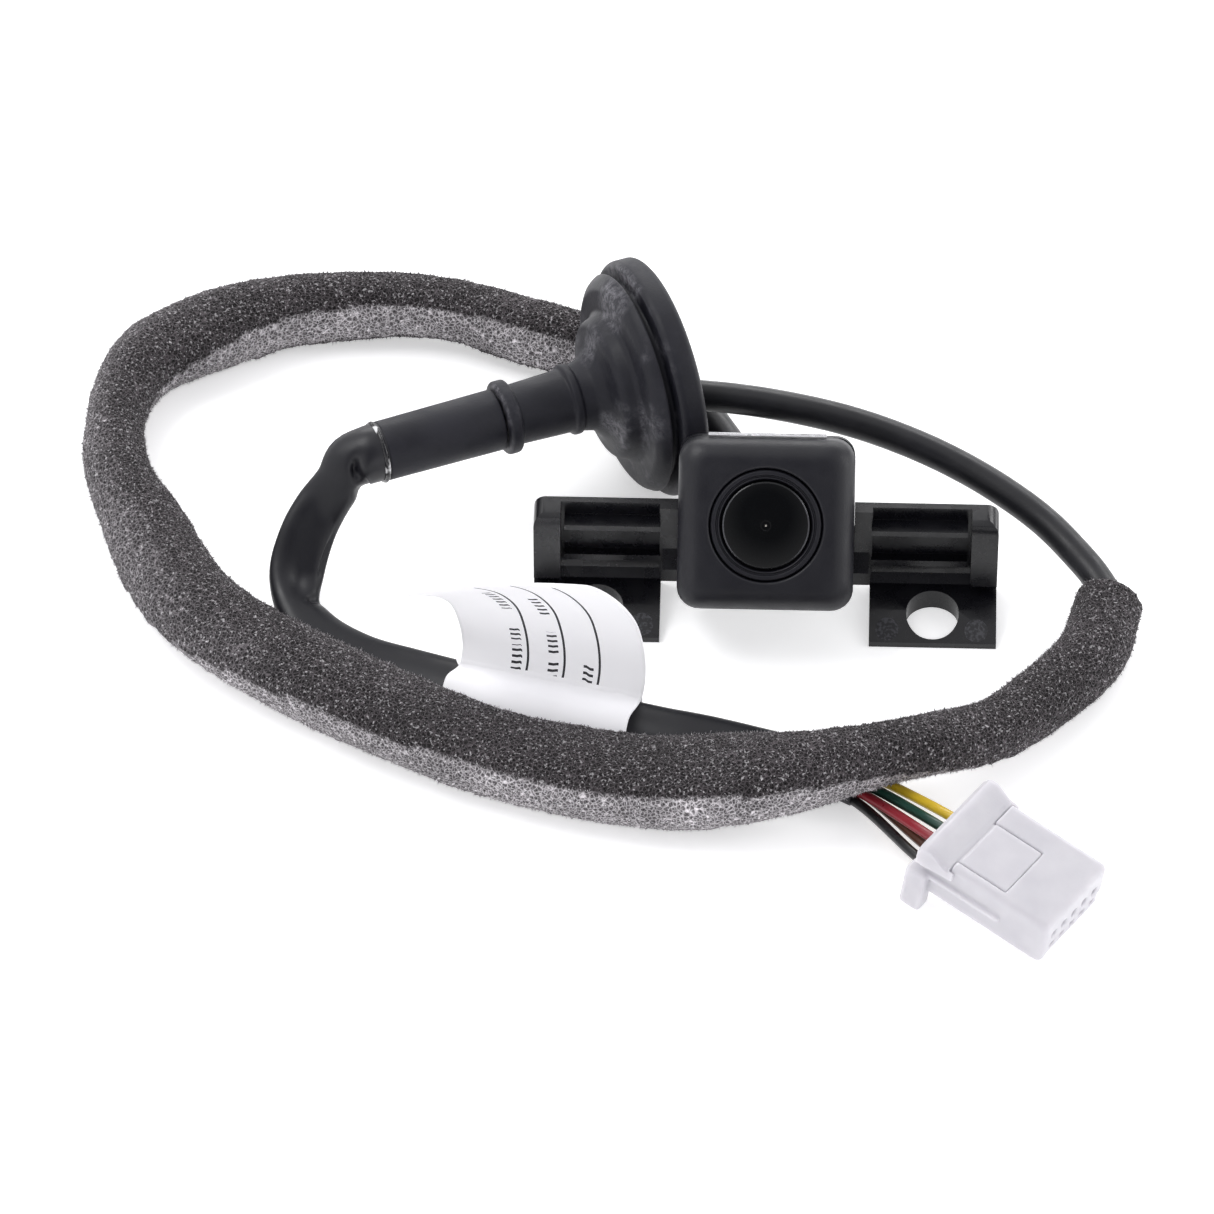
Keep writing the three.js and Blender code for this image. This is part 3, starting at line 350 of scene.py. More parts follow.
# ---- materials
class Nodes:
    """Adds shader nodes to a tree."""

    def __init__(self, tree):
        self.tree = tree

    def plug(self, place, value):
        """Joins a socket to an input, or sets it to a plain value."""
        if isinstance(value, bpy.types.NodeSocket):
            self.tree.links.new(value, place)
        else:
            place.default_value = value

    def add(self, kind, **settings):
        """One node. A capitalised setting is one of its inputs; the others are the node's own."""
        made = self.tree.nodes.new("ShaderNode" + kind)
        for key, value in settings.items():
            if key[0].isupper():
                self.plug(made.inputs[key.replace("_", " ")], value)
            else:
                setattr(made, key, value)
        return made

    def combined(self, kind, operation, *values):
        """The outputs of a maths node, given the values of its inputs in their order."""
        made = self.add(kind, operation=operation)
        for place, value in zip(made.inputs, values):
            self.plug(place, value)
        return made.outputs

    def maths(self, operation, *values):
        return self.combined("Math", operation, *values)[0]

    def times(self, *values):
        return functools.reduce(lambda first, second: self.maths("MULTIPLY", first, second), values)

    def within(self, value, low, high):
        return self.maths("COMPARE", value, (low + high) / 2, (high - low) / 2)

    def mixed(self, factor, first, second):
        """The first colour where the factor is 0 and the second where it is 1."""
        mix = self.add("Mix", data_type="RGBA", Factor=factor)
        for place, colour in ((mix.inputs[6], first), (mix.inputs[7], second)):
            self.plug(place, colour if isinstance(colour, bpy.types.NodeSocket) else (*colour, 1))
        return mix.outputs[2]

    def ranged(self, value, low, high, to_low=0, to_high=1):
        made = self.add("MapRange", Value=value, From_Min=low, From_Max=high, To_Min=to_low, To_Max=to_high)
        return made.outputs[0]


class Look(Nodes):
    """A new material, with its shader and the places of points in the object's own frame."""

    def __init__(self, name, **inputs):
        self.material = bpy.data.materials.new(name)
        self.material.use_nodes = True
        super().__init__(self.material.node_tree)
        self.shader = self.tree.nodes["Principled BSDF"]
        self.shade(**inputs)
        self.where = self.add("TexCoord").outputs["Object"]

    def shade(self, **inputs):
        """Joins or sets inputs of the shader."""
        for key, value in inputs.items():
            self.plug(self.shader.inputs[key.replace("_", " ")], value)

    def noise(self, scale, detail, roughness=0.5):
        made = self.add("TexNoise", Vector=self.where, Scale=scale, Detail=detail, Roughness=roughness)
        return made.outputs["Fac"]

    def cloud(self, scale, detail, low, high, to_low=0, to_high=1, roughness=0.5):
        """Noise with its values from low to high stretched to another range."""
        return self.ranged(self.noise(scale, detail, roughness), low, high, to_low, to_high)

    def finish(self, colour, rough, height, strength, depth, **inputs):
        """The material, with its colour, roughness and bump joined to the shader."""
        bump = self.add("Bump", Height=height, Strength=strength, Distance=depth).outputs[0]
        self.shade(Base_Color=colour, Roughness=rough, Normal=bump, **inputs)
        return self.material


def moulded(name, dark, light, rough, grain, depth, patches=(160, 4, 0.35, 0.65), shine=(420, 3, 0.3, 0.7),
            fine=(4, 0.6), strength=0.6, **inputs):
    """A moulded finish: cloudy colour and uneven gloss, each from a cloud, and a fine grain."""
    look = Look(name, **inputs)
    colour = look.mixed(look.cloud(*patches), dark, light)
    return look.finish(colour, look.cloud(*shine, *rough), look.noise(grain, *fine), strength, depth)


def foam_material():
    """Open-cell foam: dark pores between paler cell walls, painted brighter where light falls along the
    sheet's cut edge, on its outer left side and on its fuzz, with painted glints.
    """
    look = Look("foam", Specular_IOR_Level=0.25, Sheen_Weight=0.10, Sheen_Roughness=0.35,
                Sheen_Tint=(1, 0.95, 0.97, 1))
    warp = look.add("TexNoise", Vector=look.where, Scale=900, Detail=1).outputs["Color"]
    shift = look.add("VectorMath", operation="SCALE", Vector=warp, Scale=0.00022).outputs[0]
    moved = look.combined("VectorMath", "ADD", look.where, shift)[0]

    def cell_walls(scale, width, height):
        cells = look.add("TexVoronoi", feature="DISTANCE_TO_EDGE", Vector=moved, Scale=scale)
        return look.ranged(cells.outputs["Distance"], 0.02, width, height, 0)

    web = look.maths("MAXIMUM", cell_walls(1750, 0.20, 1), cell_walls(3500, 0.18, 0.35))
    # The cut value is painted light: it lifts the cell walls towards white along the cut edge, on the outer
    # left side and on the fuzz.
    cut = look.add("Attribute", attribute_name="cut").outputs["Fac"]
    pore = look.mixed(cut, (0.0055, 0.0047, 0.0052), (0.075, 0.068, 0.073))
    wall = look.mixed(cut, (0.092, 0.080, 0.087), (0.95, 0.90, 0.94))
    patches = look.cloud(90, 2, 0.3, 0.7, 0.70, 1.25)
    toned = look.add("HueSaturation", Color=look.mixed(web, pore, wall), Value=patches).outputs[0]
    # Painted glints: sparse bright specks, most where the foam is painted pale.
    painted_glints = look.times(look.cloud(2600, 1, 0.62, 0.68), look.ranged(cut, 0, 1, 0.45, 1))
    colour = look.mixed(painted_glints, toned, (0.95, 0.92, 0.95))
    return look.finish(colour, look.ranged(web, 0, 1, 1.0, 0.62), web, 1.0, 0.00036)


def rubber_material(name, bloom_and_sheen=False):
    """Matt rubber. The grommet's has a whitish bloom mixed with painted sheen, on edges and where its steps
    face its nose.
    """
    look = Look(name, Specular_IOR_Level=0.32)
    cloud = look.cloud(140, 5, 0.38, 0.7, roughness=0.62)
    base = look.mixed(cloud, (0.0080, 0.0080, 0.0125), (0.0145, 0.0145, 0.0205))
    if bloom_and_sheen:
        # Painted sheen with bloom: lighter on edges and on faces turned towards the nose, broken into patches
        # and streaks.
        surface = look.add("NewGeometry").outputs
        facing = look.combined("VectorMath", "DOT_PRODUCT", surface["Normal"], GROMMET_AXIS)["Value"]
        edges = look.ranged(surface["Pointiness"], 0.51, 0.57, 0, 0.5)
        pale = look.maths("MAXIMUM", look.ranged(facing, 0.25, 0.85), edges)
        patches = look.cloud(70, 3, 0.50, 0.66, roughness=0.6)
        streaks = look.cloud(900, 4, 0.42, 0.66, 0.1, 1, 0.75)
        base = look.mixed(look.times(pale, patches, streaks), base, (0.20, 0.195, 0.215))
    return look.finish(base, look.ranged(cloud, 0, 1, 0.46, 0.66), look.noise(2400, 4, 0.6), 0.5, 0.00006)


def paper_material():
    """White label paper with ruled lines and, beside each, a row of plain strokes in place of print."""
    # The paper glows a little with its own colour: painted light that brightens the label.
    look = Look("label_paper", Specular_IOR_Level=0.4, Emission_Strength=0.14)
    base = look.mixed(look.cloud(1500, 4, 0.3, 0.7), (0.90, 0.895, 0.92), (0.95, 0.945, 0.965))
    across = look.add("Attribute", attribute_name="across").outputs["Fac"]
    height = look.add("Attribute", attribute_name="height").outputs["Fac"]

    def printed_box(left, right, low, high):
        return look.times(look.within(across, left, right), look.within(height, low, high))

    ink = 0.0
    for line, low, high in LABEL_RULES:
        ink = look.maths("MAXIMUM", printed_box(line - 0.16, line + 0.16, low, high), ink)
    strokes = look.maths("LESS_THAN", look.maths("FRACT", look.maths("DIVIDE", height, STROKE_PITCH)), 0.42)
    for line, low, high in LABEL_STROKES:
        row = printed_box(line - 2.2, line - 0.8, low, high)
        ink = look.maths("MAXIMUM", look.times(row, strokes), ink)
    printed = look.mixed(ink, base, (0.03, 0.03, 0.034))
    return look.finish(printed, 0.48, look.noise(2200, 3), 0.25, 0.00003, Emission_Color=printed)


def bracket_material():
    """Glossy black moulding, with two stippled ejector-pin discs on top of each foot."""
    look = Look("bracket_black", Specular_IOR_Level=0.46)
    base = look.mixed(look.cloud(160, 4, 0.35, 0.65), (0.0032, 0.0032, 0.0048), (0.0046, 0.0046, 0.0064))
    split = look.add("SeparateXYZ", Vector=look.where).outputs
    along = look.maths("SUBTRACT", split["Y"], EJECTOR_Y * MM)
    discs = 0.0
    for x in EJECTOR_X:
        across = look.maths("SUBTRACT", look.maths("ABSOLUTE", split["X"]), x * MM)
        reach = look.maths("ADD", look.times(across, across), look.times(along, along))
        disc = look.maths("LESS_THAN", reach, (EJECTOR_RADIUS * MM) ** 2)
        discs = look.maths("MAXIMUM", disc, discs)
    pale = look.times(discs, look.cloud(2600, 2, 0.45, 0.60, 0.15, 1))
    gloss = look.cloud(420, 3, 0.3, 0.7, 0.22, 0.34)
    colour = look.mixed(pale, base, (0.045, 0.045, 0.052))
    rough = look.maths("ADD", gloss, look.times(discs, 0.25))
    return look.finish(colour, rough, look.noise(900, 4, 0.6), 0.6, 0.00003)


def glass_material():
    """Coated lens glass: nearly black, with a painted glint in its middle, a faint ring and a pale rim of
    painted highlight.
    """
    look = Look("lens_glass", Transmission_Weight=0.3, IOR=1.45, Specular_IOR_Level=0.3)
    middle = MODULE_FRAME @ (Vector((0, 0, LENS_CROWN)) * MM)
    reach = look.combined("VectorMath", "DISTANCE", look.where, middle)["Value"]
    ring = look.within(reach, 0.60 * MM, 0.72 * MM)
    colour = look.mixed(ring, (0.0016, 0.0020, 0.0024), (0.012, 0.012, 0.013))
    sideways = look.maths("ABSOLUTE", look.add("SeparateXYZ", Vector=look.where).outputs["X"])
    # Painted highlight round the rim, brighter towards the left and right.
    rim = look.within(reach, 5.66 * MM, 5.86 * MM)
    lit_rim = look.times(rim, look.ranged(sideways, 3.2 * MM, 5.0 * MM, 0.15, 1))
    colour = look.mixed(lit_rim, colour, (0.085, 0.085, 0.095))
    # Painted glint on the lens axis.
    painted_glint = look.within(reach, -0.12 * MM, 0.12 * MM)
    colour = look.mixed(painted_glint, colour, (0.45, 0.42, 0.38))
    return look.finish(colour, look.cloud(300, 4, 0.4, 0.7, 0.02, 0.07), look.noise(150, 2), 0.05, 0.00001)


def film_material():
    look = Look("clear_film", Transmission_Weight=0.55, IOR=1.45)
    rough = look.cloud(500, 4, 0.35, 0.65, 0.12, 0.4)
    return look.finish((0.95, 0.95, 0.97, 1), rough, look.noise(700, 3), 0.4, 0.00005)


def metal_material(name, colour, rough):
    """Plated metal with fine streaks along x."""
    look = Look(name, Metallic=1.0)
    streak = look.add("Mapping", Vector=look.where, Scale=(3000, 300, 300)).outputs[0]
    brushed = look.add("TexNoise", Vector=streak, Scale=1, Detail=4).outputs["Fac"]
    shade = look.mixed(brushed, [c * 0.8 for c in colour], colour)
    return look.finish(shade, look.ranged(brushed, 0.3, 0.7, *rough), brushed, 0.3, 0.00002)


SHELL = moulded("module_shell", (0.0062, 0.0062, 0.0096), (0.0086, 0.0086, 0.0124), (0.38, 0.48), 3600,
                0.00004, Specular_IOR_Level=0.42)
BRACKET = bracket_material()
JACKET = moulded("cable_jacket", (0.007, 0.007, 0.009), (0.011, 0.011, 0.014), (0.32, 0.46), 1900, 0.00003,
                 Specular_IOR_Level=0.42)
VINYL = moulded("tube_vinyl", (0.0075, 0.0075, 0.0105), (0.011, 0.011, 0.0145), (0.34, 0.46), 700, 0.00003,
                Specular_IOR_Level=0.42)
GLUE = moulded("clear_adhesive", (0.012, 0.012, 0.014), (0.78, 0.78, 0.79), (0.10, 0.30), 900, 0.0002,
               patches=(260, 3, 0.53, 0.58), shine=(700, 3, 0.3, 0.7), fine=(4, 0.5), Specular_IOR_Level=0.5)
BARREL = moulded("barrel_black", (0.002, 0.002, 0.0025), (0.004, 0.004, 0.005), (0.4, 0.55), 2500, 0.00002,
                 Specular_IOR_Level=0.15)
BOARD = moulded("circuit_board", (0.01, 0.07, 0.03), (0.02, 0.10, 0.04), (0.35, 0.5), 900, 0.00005)
CHIP = moulded("chip_black", (0.01, 0.01, 0.011), (0.016, 0.016, 0.018), (0.3, 0.4), 1500, 0.00003)
FOAM = foam_material()
GROMMET_RUBBER = rubber_material("bloom_and_sheen_rubber", bloom_and_sheen=True)
RUBBER = rubber_material("clean_rubber")
PAPER = paper_material()
# Its emission is painted light: a faint glow that brightens the connector and its cavities.
NYLON = moulded("white_nylon", (0.45, 0.44, 0.47), (0.50, 0.49, 0.515), (0.32, 0.5), 1800, 0.00003,
                patches=(240, 3, 0.3, 0.7), shine=(700, 3, 0.3, 0.7), fine=(3, 0.5), strength=0.3,
                Subsurface_Weight=0.85, Subsurface_Scale=0.0022, Subsurface_Radius=(1.0, 0.95, 0.95),
                Emission_Color=(0.93, 0.92, 1, 1), Emission_Strength=0.10, Specular_IOR_Level=0.4)
GLASS = glass_material()
FILM = film_material()
STEEL = metal_material("zinc_steel", (0.62, 0.63, 0.65), (0.25, 0.42))
TIN = metal_material("tin_plate", (0.74, 0.73, 0.70), (0.2, 0.35))
WIRE_COLOURS = {
    "black": (0.010, 0.010, 0.011), "brown": (0.085, 0.030, 0.016), "red": (0.24, 0.012, 0.022),
    "green": (0.006, 0.045, 0.030), "yellow": (0.62, 0.42, 0.02),
}
WIRE_LOOKS = {
    name: moulded("wire_skin_" + name, [0.85 * c for c in colour], colour, (0.25, 0.4), 1800, 0.00003)
    for name, colour in WIRE_COLOURS.items()
}


def finished(piece, slot, *nodes, body=MAIN):
    """Says what a new piece rides on and stands for; its slot, for the finish it takes, is not used."""
    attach(piece, body)
    if nodes:
        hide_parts(*nodes)
    return piece


# ---- camera
def make_camera():
    lens = bpy.data.cameras.new("view")
    lens.sensor_width = 36
    lens.lens = 36 * VIEW_DISTANCE / VIEW_WIDTH
    camera = linked("view", lens)
    level = Vector((sin(VIEW_TURN), -cos(VIEW_TURN), 0))
    direction = level * cos(VIEW_RISE) + Vector((0, 0, sin(VIEW_RISE)))
    camera.location = VIEW_TARGET + direction * VIEW_DISTANCE
    camera.rotation_euler = direction.to_track_quat("Z", "Y").to_euler()
    bpy.context.scene.camera = camera


# ---- cords
def round_cord(name, points, radius, material):
    """A cord as one open spline with round section."""
    curve = bpy.data.curves.new(name, "CURVE")
    curve.dimensions = "3D"
    curve.bevel_depth = radius
    curve.bevel_resolution = 5
    curve.use_fill_caps = True
    spline = curve.splines.new("POLY")
    spline.points.add(len(points) - 1)
    for slot, point in zip(spline.points, points):
        slot.co = (*point[:3], 1)
    spline.use_smooth = True
    curve.materials.append(material)
    return linked(name, curve)


def camera_cable():
    through_gland = [
        MODULE_FRAME @ (Vector((0, GLAND_HEIGHT, -MODULE_DEPTH + behind)) * MM) for behind in (1.1, -3, -6)
    ]
    through_grommet = [on_grommet(distance) for distance in (9, 13, 20, 28, 40.6)]
    between = [Vector(point[:3]) * MM for point in (*LEAD_OUT, *FOAM_ROUTE, *BARE_ROUTE)]
    line = catmull_rom([*through_gland, *between, *through_grommet], CABLE_STEP * MM)
    piece = finished(round_cord("cable_jacketed", line, CABLE_RADIUS * MM, JACKET), "jacket", "camera_cable")
    return piece, line


def tube_sections():
    """Along the tube: its centre, half width, half height and roll, from inside the sleeve."""
    start = [(*(on_grommet(d) / MM), 3.9, 3.9, 0) for d in (37.0, 40.0, 43.2)]
    return catmull_rom(start + TUBE_ROUTE, TUBE_STEP)


def dented(distance, angle):
    """How far the tube's skin is pushed in at this distance and angle, in millimetres."""
    total = 0.0
    for middle, bearing, depth, reach, spread in TUBE_DENTS:
        turn = (degrees(angle) - bearing + 180) % 360 - 180
        total += depth * exp(-((distance - middle) / reach) ** 2 - (turn / spread) ** 2)
    return total


def harness_tube():
    """The thin-walled tube, round at the sleeve, kinked below it and flattened along the table."""
    rows = tube_sections()[:-TUBE_TRIM]
    points = rows[:, :3]
    sides, ups = side_and_up(points)
    vertices = []
    for i, (x, y, z, wide, high, roll) in enumerate(rows):
        turn = radians(roll)
        flat = min(1.0, max(0.0, (wide - high) / 2.4))
        power = 2 / (2 + 0.7 * flat)
        for angle, c, s in turns(TUBE_AROUND):
            a = copysign(abs(c) ** power, c) * wide
            b = copysign(abs(s) ** power, s) * high
            b -= copysign(flat * 0.22 * exp(-(a / (0.42 * wide)) ** 2), b)
            wave = noise.noise(Vector((c * 0.9, s * 0.9, i * TUBE_STEP * 0.09)))
            shrink = 1 + 0.03 * wave - dented(i * TUBE_STEP, angle) / hypot(a, b)
            a *= shrink
            b *= shrink
            side = a * cos(turn) - b * sin(turn)
            up = a * sin(turn) + b * cos(turn)
            point = np.array((x, y, z)) + sides[i] * side + ups[i] * up
            point[2] = max(point[2], LOWEST)
            vertices.append(point * MM)
    mesh = mesh_from("tube", vertices, capped_faces(len(rows), TUBE_AROUND))
    piece = new_object("harness_tube_skin", outward(mesh), VINYL)
    return finished(piece, "vinyl", "harness_tube"), points * MM


def tube_centre(x):
    """The flat tube's centre and its level right-hand direction where it passes this X, in millimetres."""
    rows = tube_sections()[:, :3]
    table = rows[len(rows) // 3:]
    nearest = int(np.argmin(abs(table[:, 0] - x)))
    ahead = table[nearest + 1] - table[nearest - 1]
    across = np.array((-ahead[1], ahead[0], 0)) / norm(ahead[:2])
    return table[nearest], across


def wire_line(mouth, column, row):
    """A wire's line from inside the tube to inside its cavity."""
    end = np.array(TUBE_ROUTE[-1][:2])
    out = end - np.array(TUBE_ROUTE[-2][:2])
    out /= norm(out)
    level = TUBE_ROUTE[-1][2]
    side = end + np.array((-out[1], out[0])) * mouth[0]
    line = [(*(side + out * distance), level + (mouth[1] - level) * 0.55) for distance in (-16, -9, -3)]
    for ahead in (-1.2, 3.4):
        place = Vector((-CONNECTOR_HALF + ahead, column * CAVITY_PITCH, CAVITY_ROWS[row]))
        line.append(CONNECTOR_FRAME @ (place * MM) / MM)
    return catmull_rom(np.array(line) * MM, WIRE_STEP * MM)


def wires():
    for colour, mouth, column, row in WIRES:
        line = wire_line(mouth, column, row)
        piece = round_cord("wire_skin_" + colour, line, WIRE_RADIUS * MM, WIRE_LOOKS[colour])
        finished(piece, "wire_" + colour, "wire_" + colour)
        line_length(line)


# ---- foam
def foam_radius(i, angle, half, seam):
    """Distance of the foam's skin from its middle: a rolled sheet, flattened where its cut edge shows."""
    high = min(half, FOAM_FLATTEST)
    wide = sqrt(max(2 * half * half - high * high, high * high))
    base = wide * high / hypot(high * cos(angle), wide * sin(angle))
    behind = (degrees(angle) - seam) % 360
    if behind > 360 - 2 * FOAM_CUT_ANGLE:
        middle = radians(seam - FOAM_CUT_ANGLE)
        chord = cos(radians(FOAM_CUT_ANGLE)) * base / max(cos(angle - middle), 0.4)
        base = min(base, chord + 0.45 * min(1, (360 - behind) / 20) + 0.2)
    else:
        base += 0.45 * exp(-behind / 14)
    along = i * FOAM_STEP
    c, s = cos(angle), sin(angle)
    lumps = noise.noise(Vector((c * 1.2, s * 1.2, along * 0.07)))
    wrinkles = noise.noise(Vector((c * 3.5, s * 3.5, along * 0.33)))
    return base * (1 + 0.05 * lumps) + 0.16 * wrinkles


def foam_rings(rows, sides, ups):
    """Rings of points round the foam, pitted by its cells, and how pale each is: painted light along its cut
    edge and on its outer left side.
    """
    rings = np.zeros((len(rows), FOAM_AROUND, 3))
    pale = np.zeros((len(rows), FOAM_AROUND))
    for i, (x, y, z, half, seam) in enumerate(rows):
        left_end = min(max((-x - 55) / 25, 0), 1)
        for j, (angle, c, s) in enumerate(turns(FOAM_AROUND)):
            way = sides[i] * c + ups[i] * s
            point = np.array((x, y, z)) + way * foam_radius(i, angle, half, seam)
            to_cell = noise.voronoi(Vector(point) * 1.9)[0][0]
            point -= way * max(-0.12, min(0.34 * (0.55 - to_cell), 0.2))
            point[2] = max(point[2], LOWEST)
            rings[i, j] = point
            behind = (degrees(angle) - seam) % 360
            # Painted light: pale along the cut edge, and on the outer side towards the loop's left end.
            pale[i, j] = CUT_EDGE_LIT if behind > 285 else LEFT_SIDE_LIT * left_end * max(0, -way[0])
    return rings, pale


def foam_end(ring, centre, tangent):
    """Smaller and smaller rings inside the foam's end, bulged and uneven."""
    inner_rings = []
    for share in (0.12, 0.4, 0.7):
        inner = centre + (ring - centre) * (1 - share)
        bulge = 0.35 * sin(pi * min(1, share * 1.6))
        jitter = np.array([noise.noise(Vector(p) * 1.7) for p in inner])
        inner_rings.append(inner + tangent * (bulge + 0.30 * jitter)[:, None])
    return inner_rings


def foam_sleeve():
    """The foam tube: its skin, its two ends and the bore that the cable runs through."""
    rows = catmull_rom(FOAM_ROUTE, FOAM_STEP)
    points = rows[:, :3]
    sides, ups = side_and_up(points)
    count = len(rows)
    skin, pale = foam_rings(rows, sides, ups)
    vertices = [*skin]
    values = [*pale]
    faces = loop_faces(count, FOAM_AROUND, False)
    total = count * FOAM_AROUND
    end_rings = []
    for i, way in ((0, -1), (count - 1, 1)):
        previous = i * FOAM_AROUND
        for inner in foam_end(skin[i], points[i], np.cross(ups[i], sides[i]) * way):
            vertices.append(inner)
            values.append(np.full(FOAM_AROUND, END_PALE))
            for quad in band(previous, total, FOAM_AROUND):
                faces.append(quad if way > 0 else quad[::-1])
            previous = total
            total += FOAM_AROUND
        end_rings.append((previous, way))
    bore_steps = list(range(0, count, FOAM_BORE_STRIDE))
    bore_steps[-1] = count - 1
    for i in bore_steps:
        circle = [sides[i] * c + ups[i] * s for angle, c, s in turns(FOAM_BORE_SIDES)]
        vertices.append(points[i] + np.array(circle) * FOAM_BORE)
        values.append(np.full(FOAM_BORE_SIDES, BORE_PALE))
    for face in loop_faces(len(bore_steps), FOAM_BORE_SIDES, False):
        faces.append(tuple(total + v for v in face)[::-1])
    ratio = FOAM_AROUND // FOAM_BORE_SIDES
    for (ring_start, way), bore_ring in zip(end_rings, (0, len(bore_steps) - 1)):
        bore = total + bore_ring * FOAM_BORE_SIDES
        for j in range(FOAM_AROUND):
            face = [ring_start + j, ring_start + (j + 1) % FOAM_AROUND, bore + j // ratio]
            if j % ratio == ratio - 1:
                face.insert(2, bore + (j // ratio + 1) % FOAM_BORE_SIDES)
            faces.append(tuple(face) if way > 0 else tuple(face)[::-1])
    mesh = mesh_from("foam", np.vstack(vertices) * MM, faces)
    # Stored as cut: the skin's paleness, painted light along its cut edge and on its outer left side.
    store(mesh, "cut", np.concatenate(values))
    piece = new_object("foam_skin", outward(mesh), FOAM)
    return finished(piece, "foam", "foam_sleeve"), points * MM, skin * MM, pale


def foam_fuzz(skin, pale, points):
    """Broken cell walls that stand off the foam's skin, as thin spikes."""
    rng = np.random.default_rng(7)
    amount = FOAM_SPIKES
    i = rng.integers(0, len(skin), amount)
    j = rng.integers(0, FOAM_AROUND, amount)
    roots = skin[i, j]
    outwards = roots - points[i]
    outwards /= norm(outwards, axis=1)[:, None]
    lean = rng.normal(0, 0.55, (amount, 3))
    lengths = rng.uniform(0.18, 0.52, amount)[:, None] * MM
    tips = roots + (outwards + lean) / norm(outwards + lean, axis=1)[:, None] * lengths
    first = np.cross(outwards, rng.normal(0, 1, (amount, 3)))
    first /= norm(first, axis=1)[:, None]
    second = np.cross(outwards, first)
    thick = rng.uniform(0.045, 0.085, amount)[:, None] * MM
    base = roots - outwards * 0.1 * MM
    corners = [base + thick * (first * c + second * s) for angle, c, s in turns(3)]
    vertices = np.stack([*corners, tips], axis=1).reshape(-1, 3)
    vertices[:, 2] = np.maximum(vertices[:, 2], 0.05 * MM)
    pattern = ((0, 2, 1), (0, 1, 3), (1, 2, 3), (2, 0, 3))
    faces = [tuple(4 * n + v for v in face) for n in range(amount) for face in pattern]
    mesh = mesh_from("fuzz", vertices, faces)
    # Painted light on the fuzz: each spike is paler at random, and more where the skin is painted pale, for a
    # lit fringe.
    store(mesh, "cut", np.repeat(rng.uniform(0.1, 0.8, amount) + 0.4 * pale[i, j], 4))
    finished(new_object("foam_fuzz", mesh, FOAM, smooth=False), "foam")


# ---- label
def label_front(share):
    """The line up the front of the flag at this share of its width, from its crease."""
    front = [np.array(a) * (1 - share) + np.array(b) * share for a, b in zip(LABEL_LEFT, LABEL_RIGHT)]
    bow = 4 * share * (1 - share)
    last = len(front) - 1
    for k, point in enumerate(front):
        point[1] += 1.1 * bow * (k / last) * (1 - 0.4 * k / last)
        point[2] += 0.5 * bow * (k / last) ** 2
    return front


def label_column(share):
    """The label's line from its flag's top, down its front, round the tube and back up to the flag's top."""
    front = label_front(share)
    centre, across = tube_centre(LABEL_SPAN[0] + (LABEL_SPAN[1] - LABEL_SPAN[0]) * share)
    loop = [centre + across * a + np.array((0, 0, b)) for a, b in LABEL_LOOP]
    back = [point + across * LABEL_GAP for point in front]
    return catmull_rom([*front[::-1], *loop, *back], LABEL_STEP)


def harness_label():
    """The label: a thin sheet with, for its print, the distances across it and up from its crease."""
    columns = [label_column(n / LABEL_COLUMNS) for n in range(LABEL_COLUMNS + 1)]
    rows = min(len(column) for column in columns)
    grid = np.array([column[np.linspace(0, len(column) - 1, rows).round().astype(int)] for column in columns])
    vertices = grid.reshape(-1, 3) * MM
    faces = []
    for start in range(0, LABEL_COLUMNS * rows, rows):
        faces += [(here, here + 1, here + rows + 1, here + rows) for here in range(start, start + rows - 1)]
    mesh = mesh_from("label", vertices, faces)
    steps = norm(np.diff(grid, axis=1), axis=2)
    from_top = np.concatenate([np.zeros((len(grid), 1)), np.cumsum(steps, axis=1)], axis=1)
    for n, column in enumerate(grid):
        crease = np.argmin(norm(column[:rows // 2] - label_front(n / LABEL_COLUMNS)[0], axis=1))
        from_top[n] = from_top[n, crease] - from_top[n]
    from_top[:, rows // 2:] = -LABEL_HIDDEN
    store(mesh, "across", np.repeat(np.linspace(0, LABEL_WIDTH, len(grid)), rows))
    store(mesh, "height", from_top)
    piece = new_object("label_paper", mesh, PAPER)
    modify(piece, "SOLIDIFY", thickness=LABEL_THICKNESS * MM, offset=0)
    return finished(piece, "paper", "harness_label")


# ---- grommet, sleeve and bead
def grommet():
    """The grommet, the sleeve that grips its nose and the rim of adhesive at the sleeve's end."""
    turn = Vector((0, 0, 1)).rotation_difference(GROMMET_AXIS)
    where = Matrix.Translation(GROMMET_MOUTH) @ turn.to_matrix().to_4x4()
    body = lathe("grommet_rubber", rounded_profile(GROMMET_PROFILE, 0.4), where, GROMMET_RUBBER, 128, 0.006)
    finished(body, "rubber", "grommet")
    sleeve_profile = [(2.6, SLEEVE_START), (4.2, SLEEVE_START), (4.1, SLEEVE_END), (2.6, SLEEVE_END)]
    sleeve = lathe("seal_sleeve_skin", rounded_profile(sleeve_profile, 0.25), where, RUBBER, 80, 0.012)
    finished(sleeve, "rubber", "seal_sleeve")
    edge = SLEEVE_END + 0.1
    bead_profile = [(2.9, edge), (4.1, edge), (4.35, edge + 0.35), (4.1, edge + 0.75), (2.9, edge + 0.75)]
    bead = lathe("adhesive_rim", rounded_profile(bead_profile, 0.2), where, GLUE, 80, 0.05)
    finished(bead, "glue", "adhesive_bead")
    return body, sleeve, bead


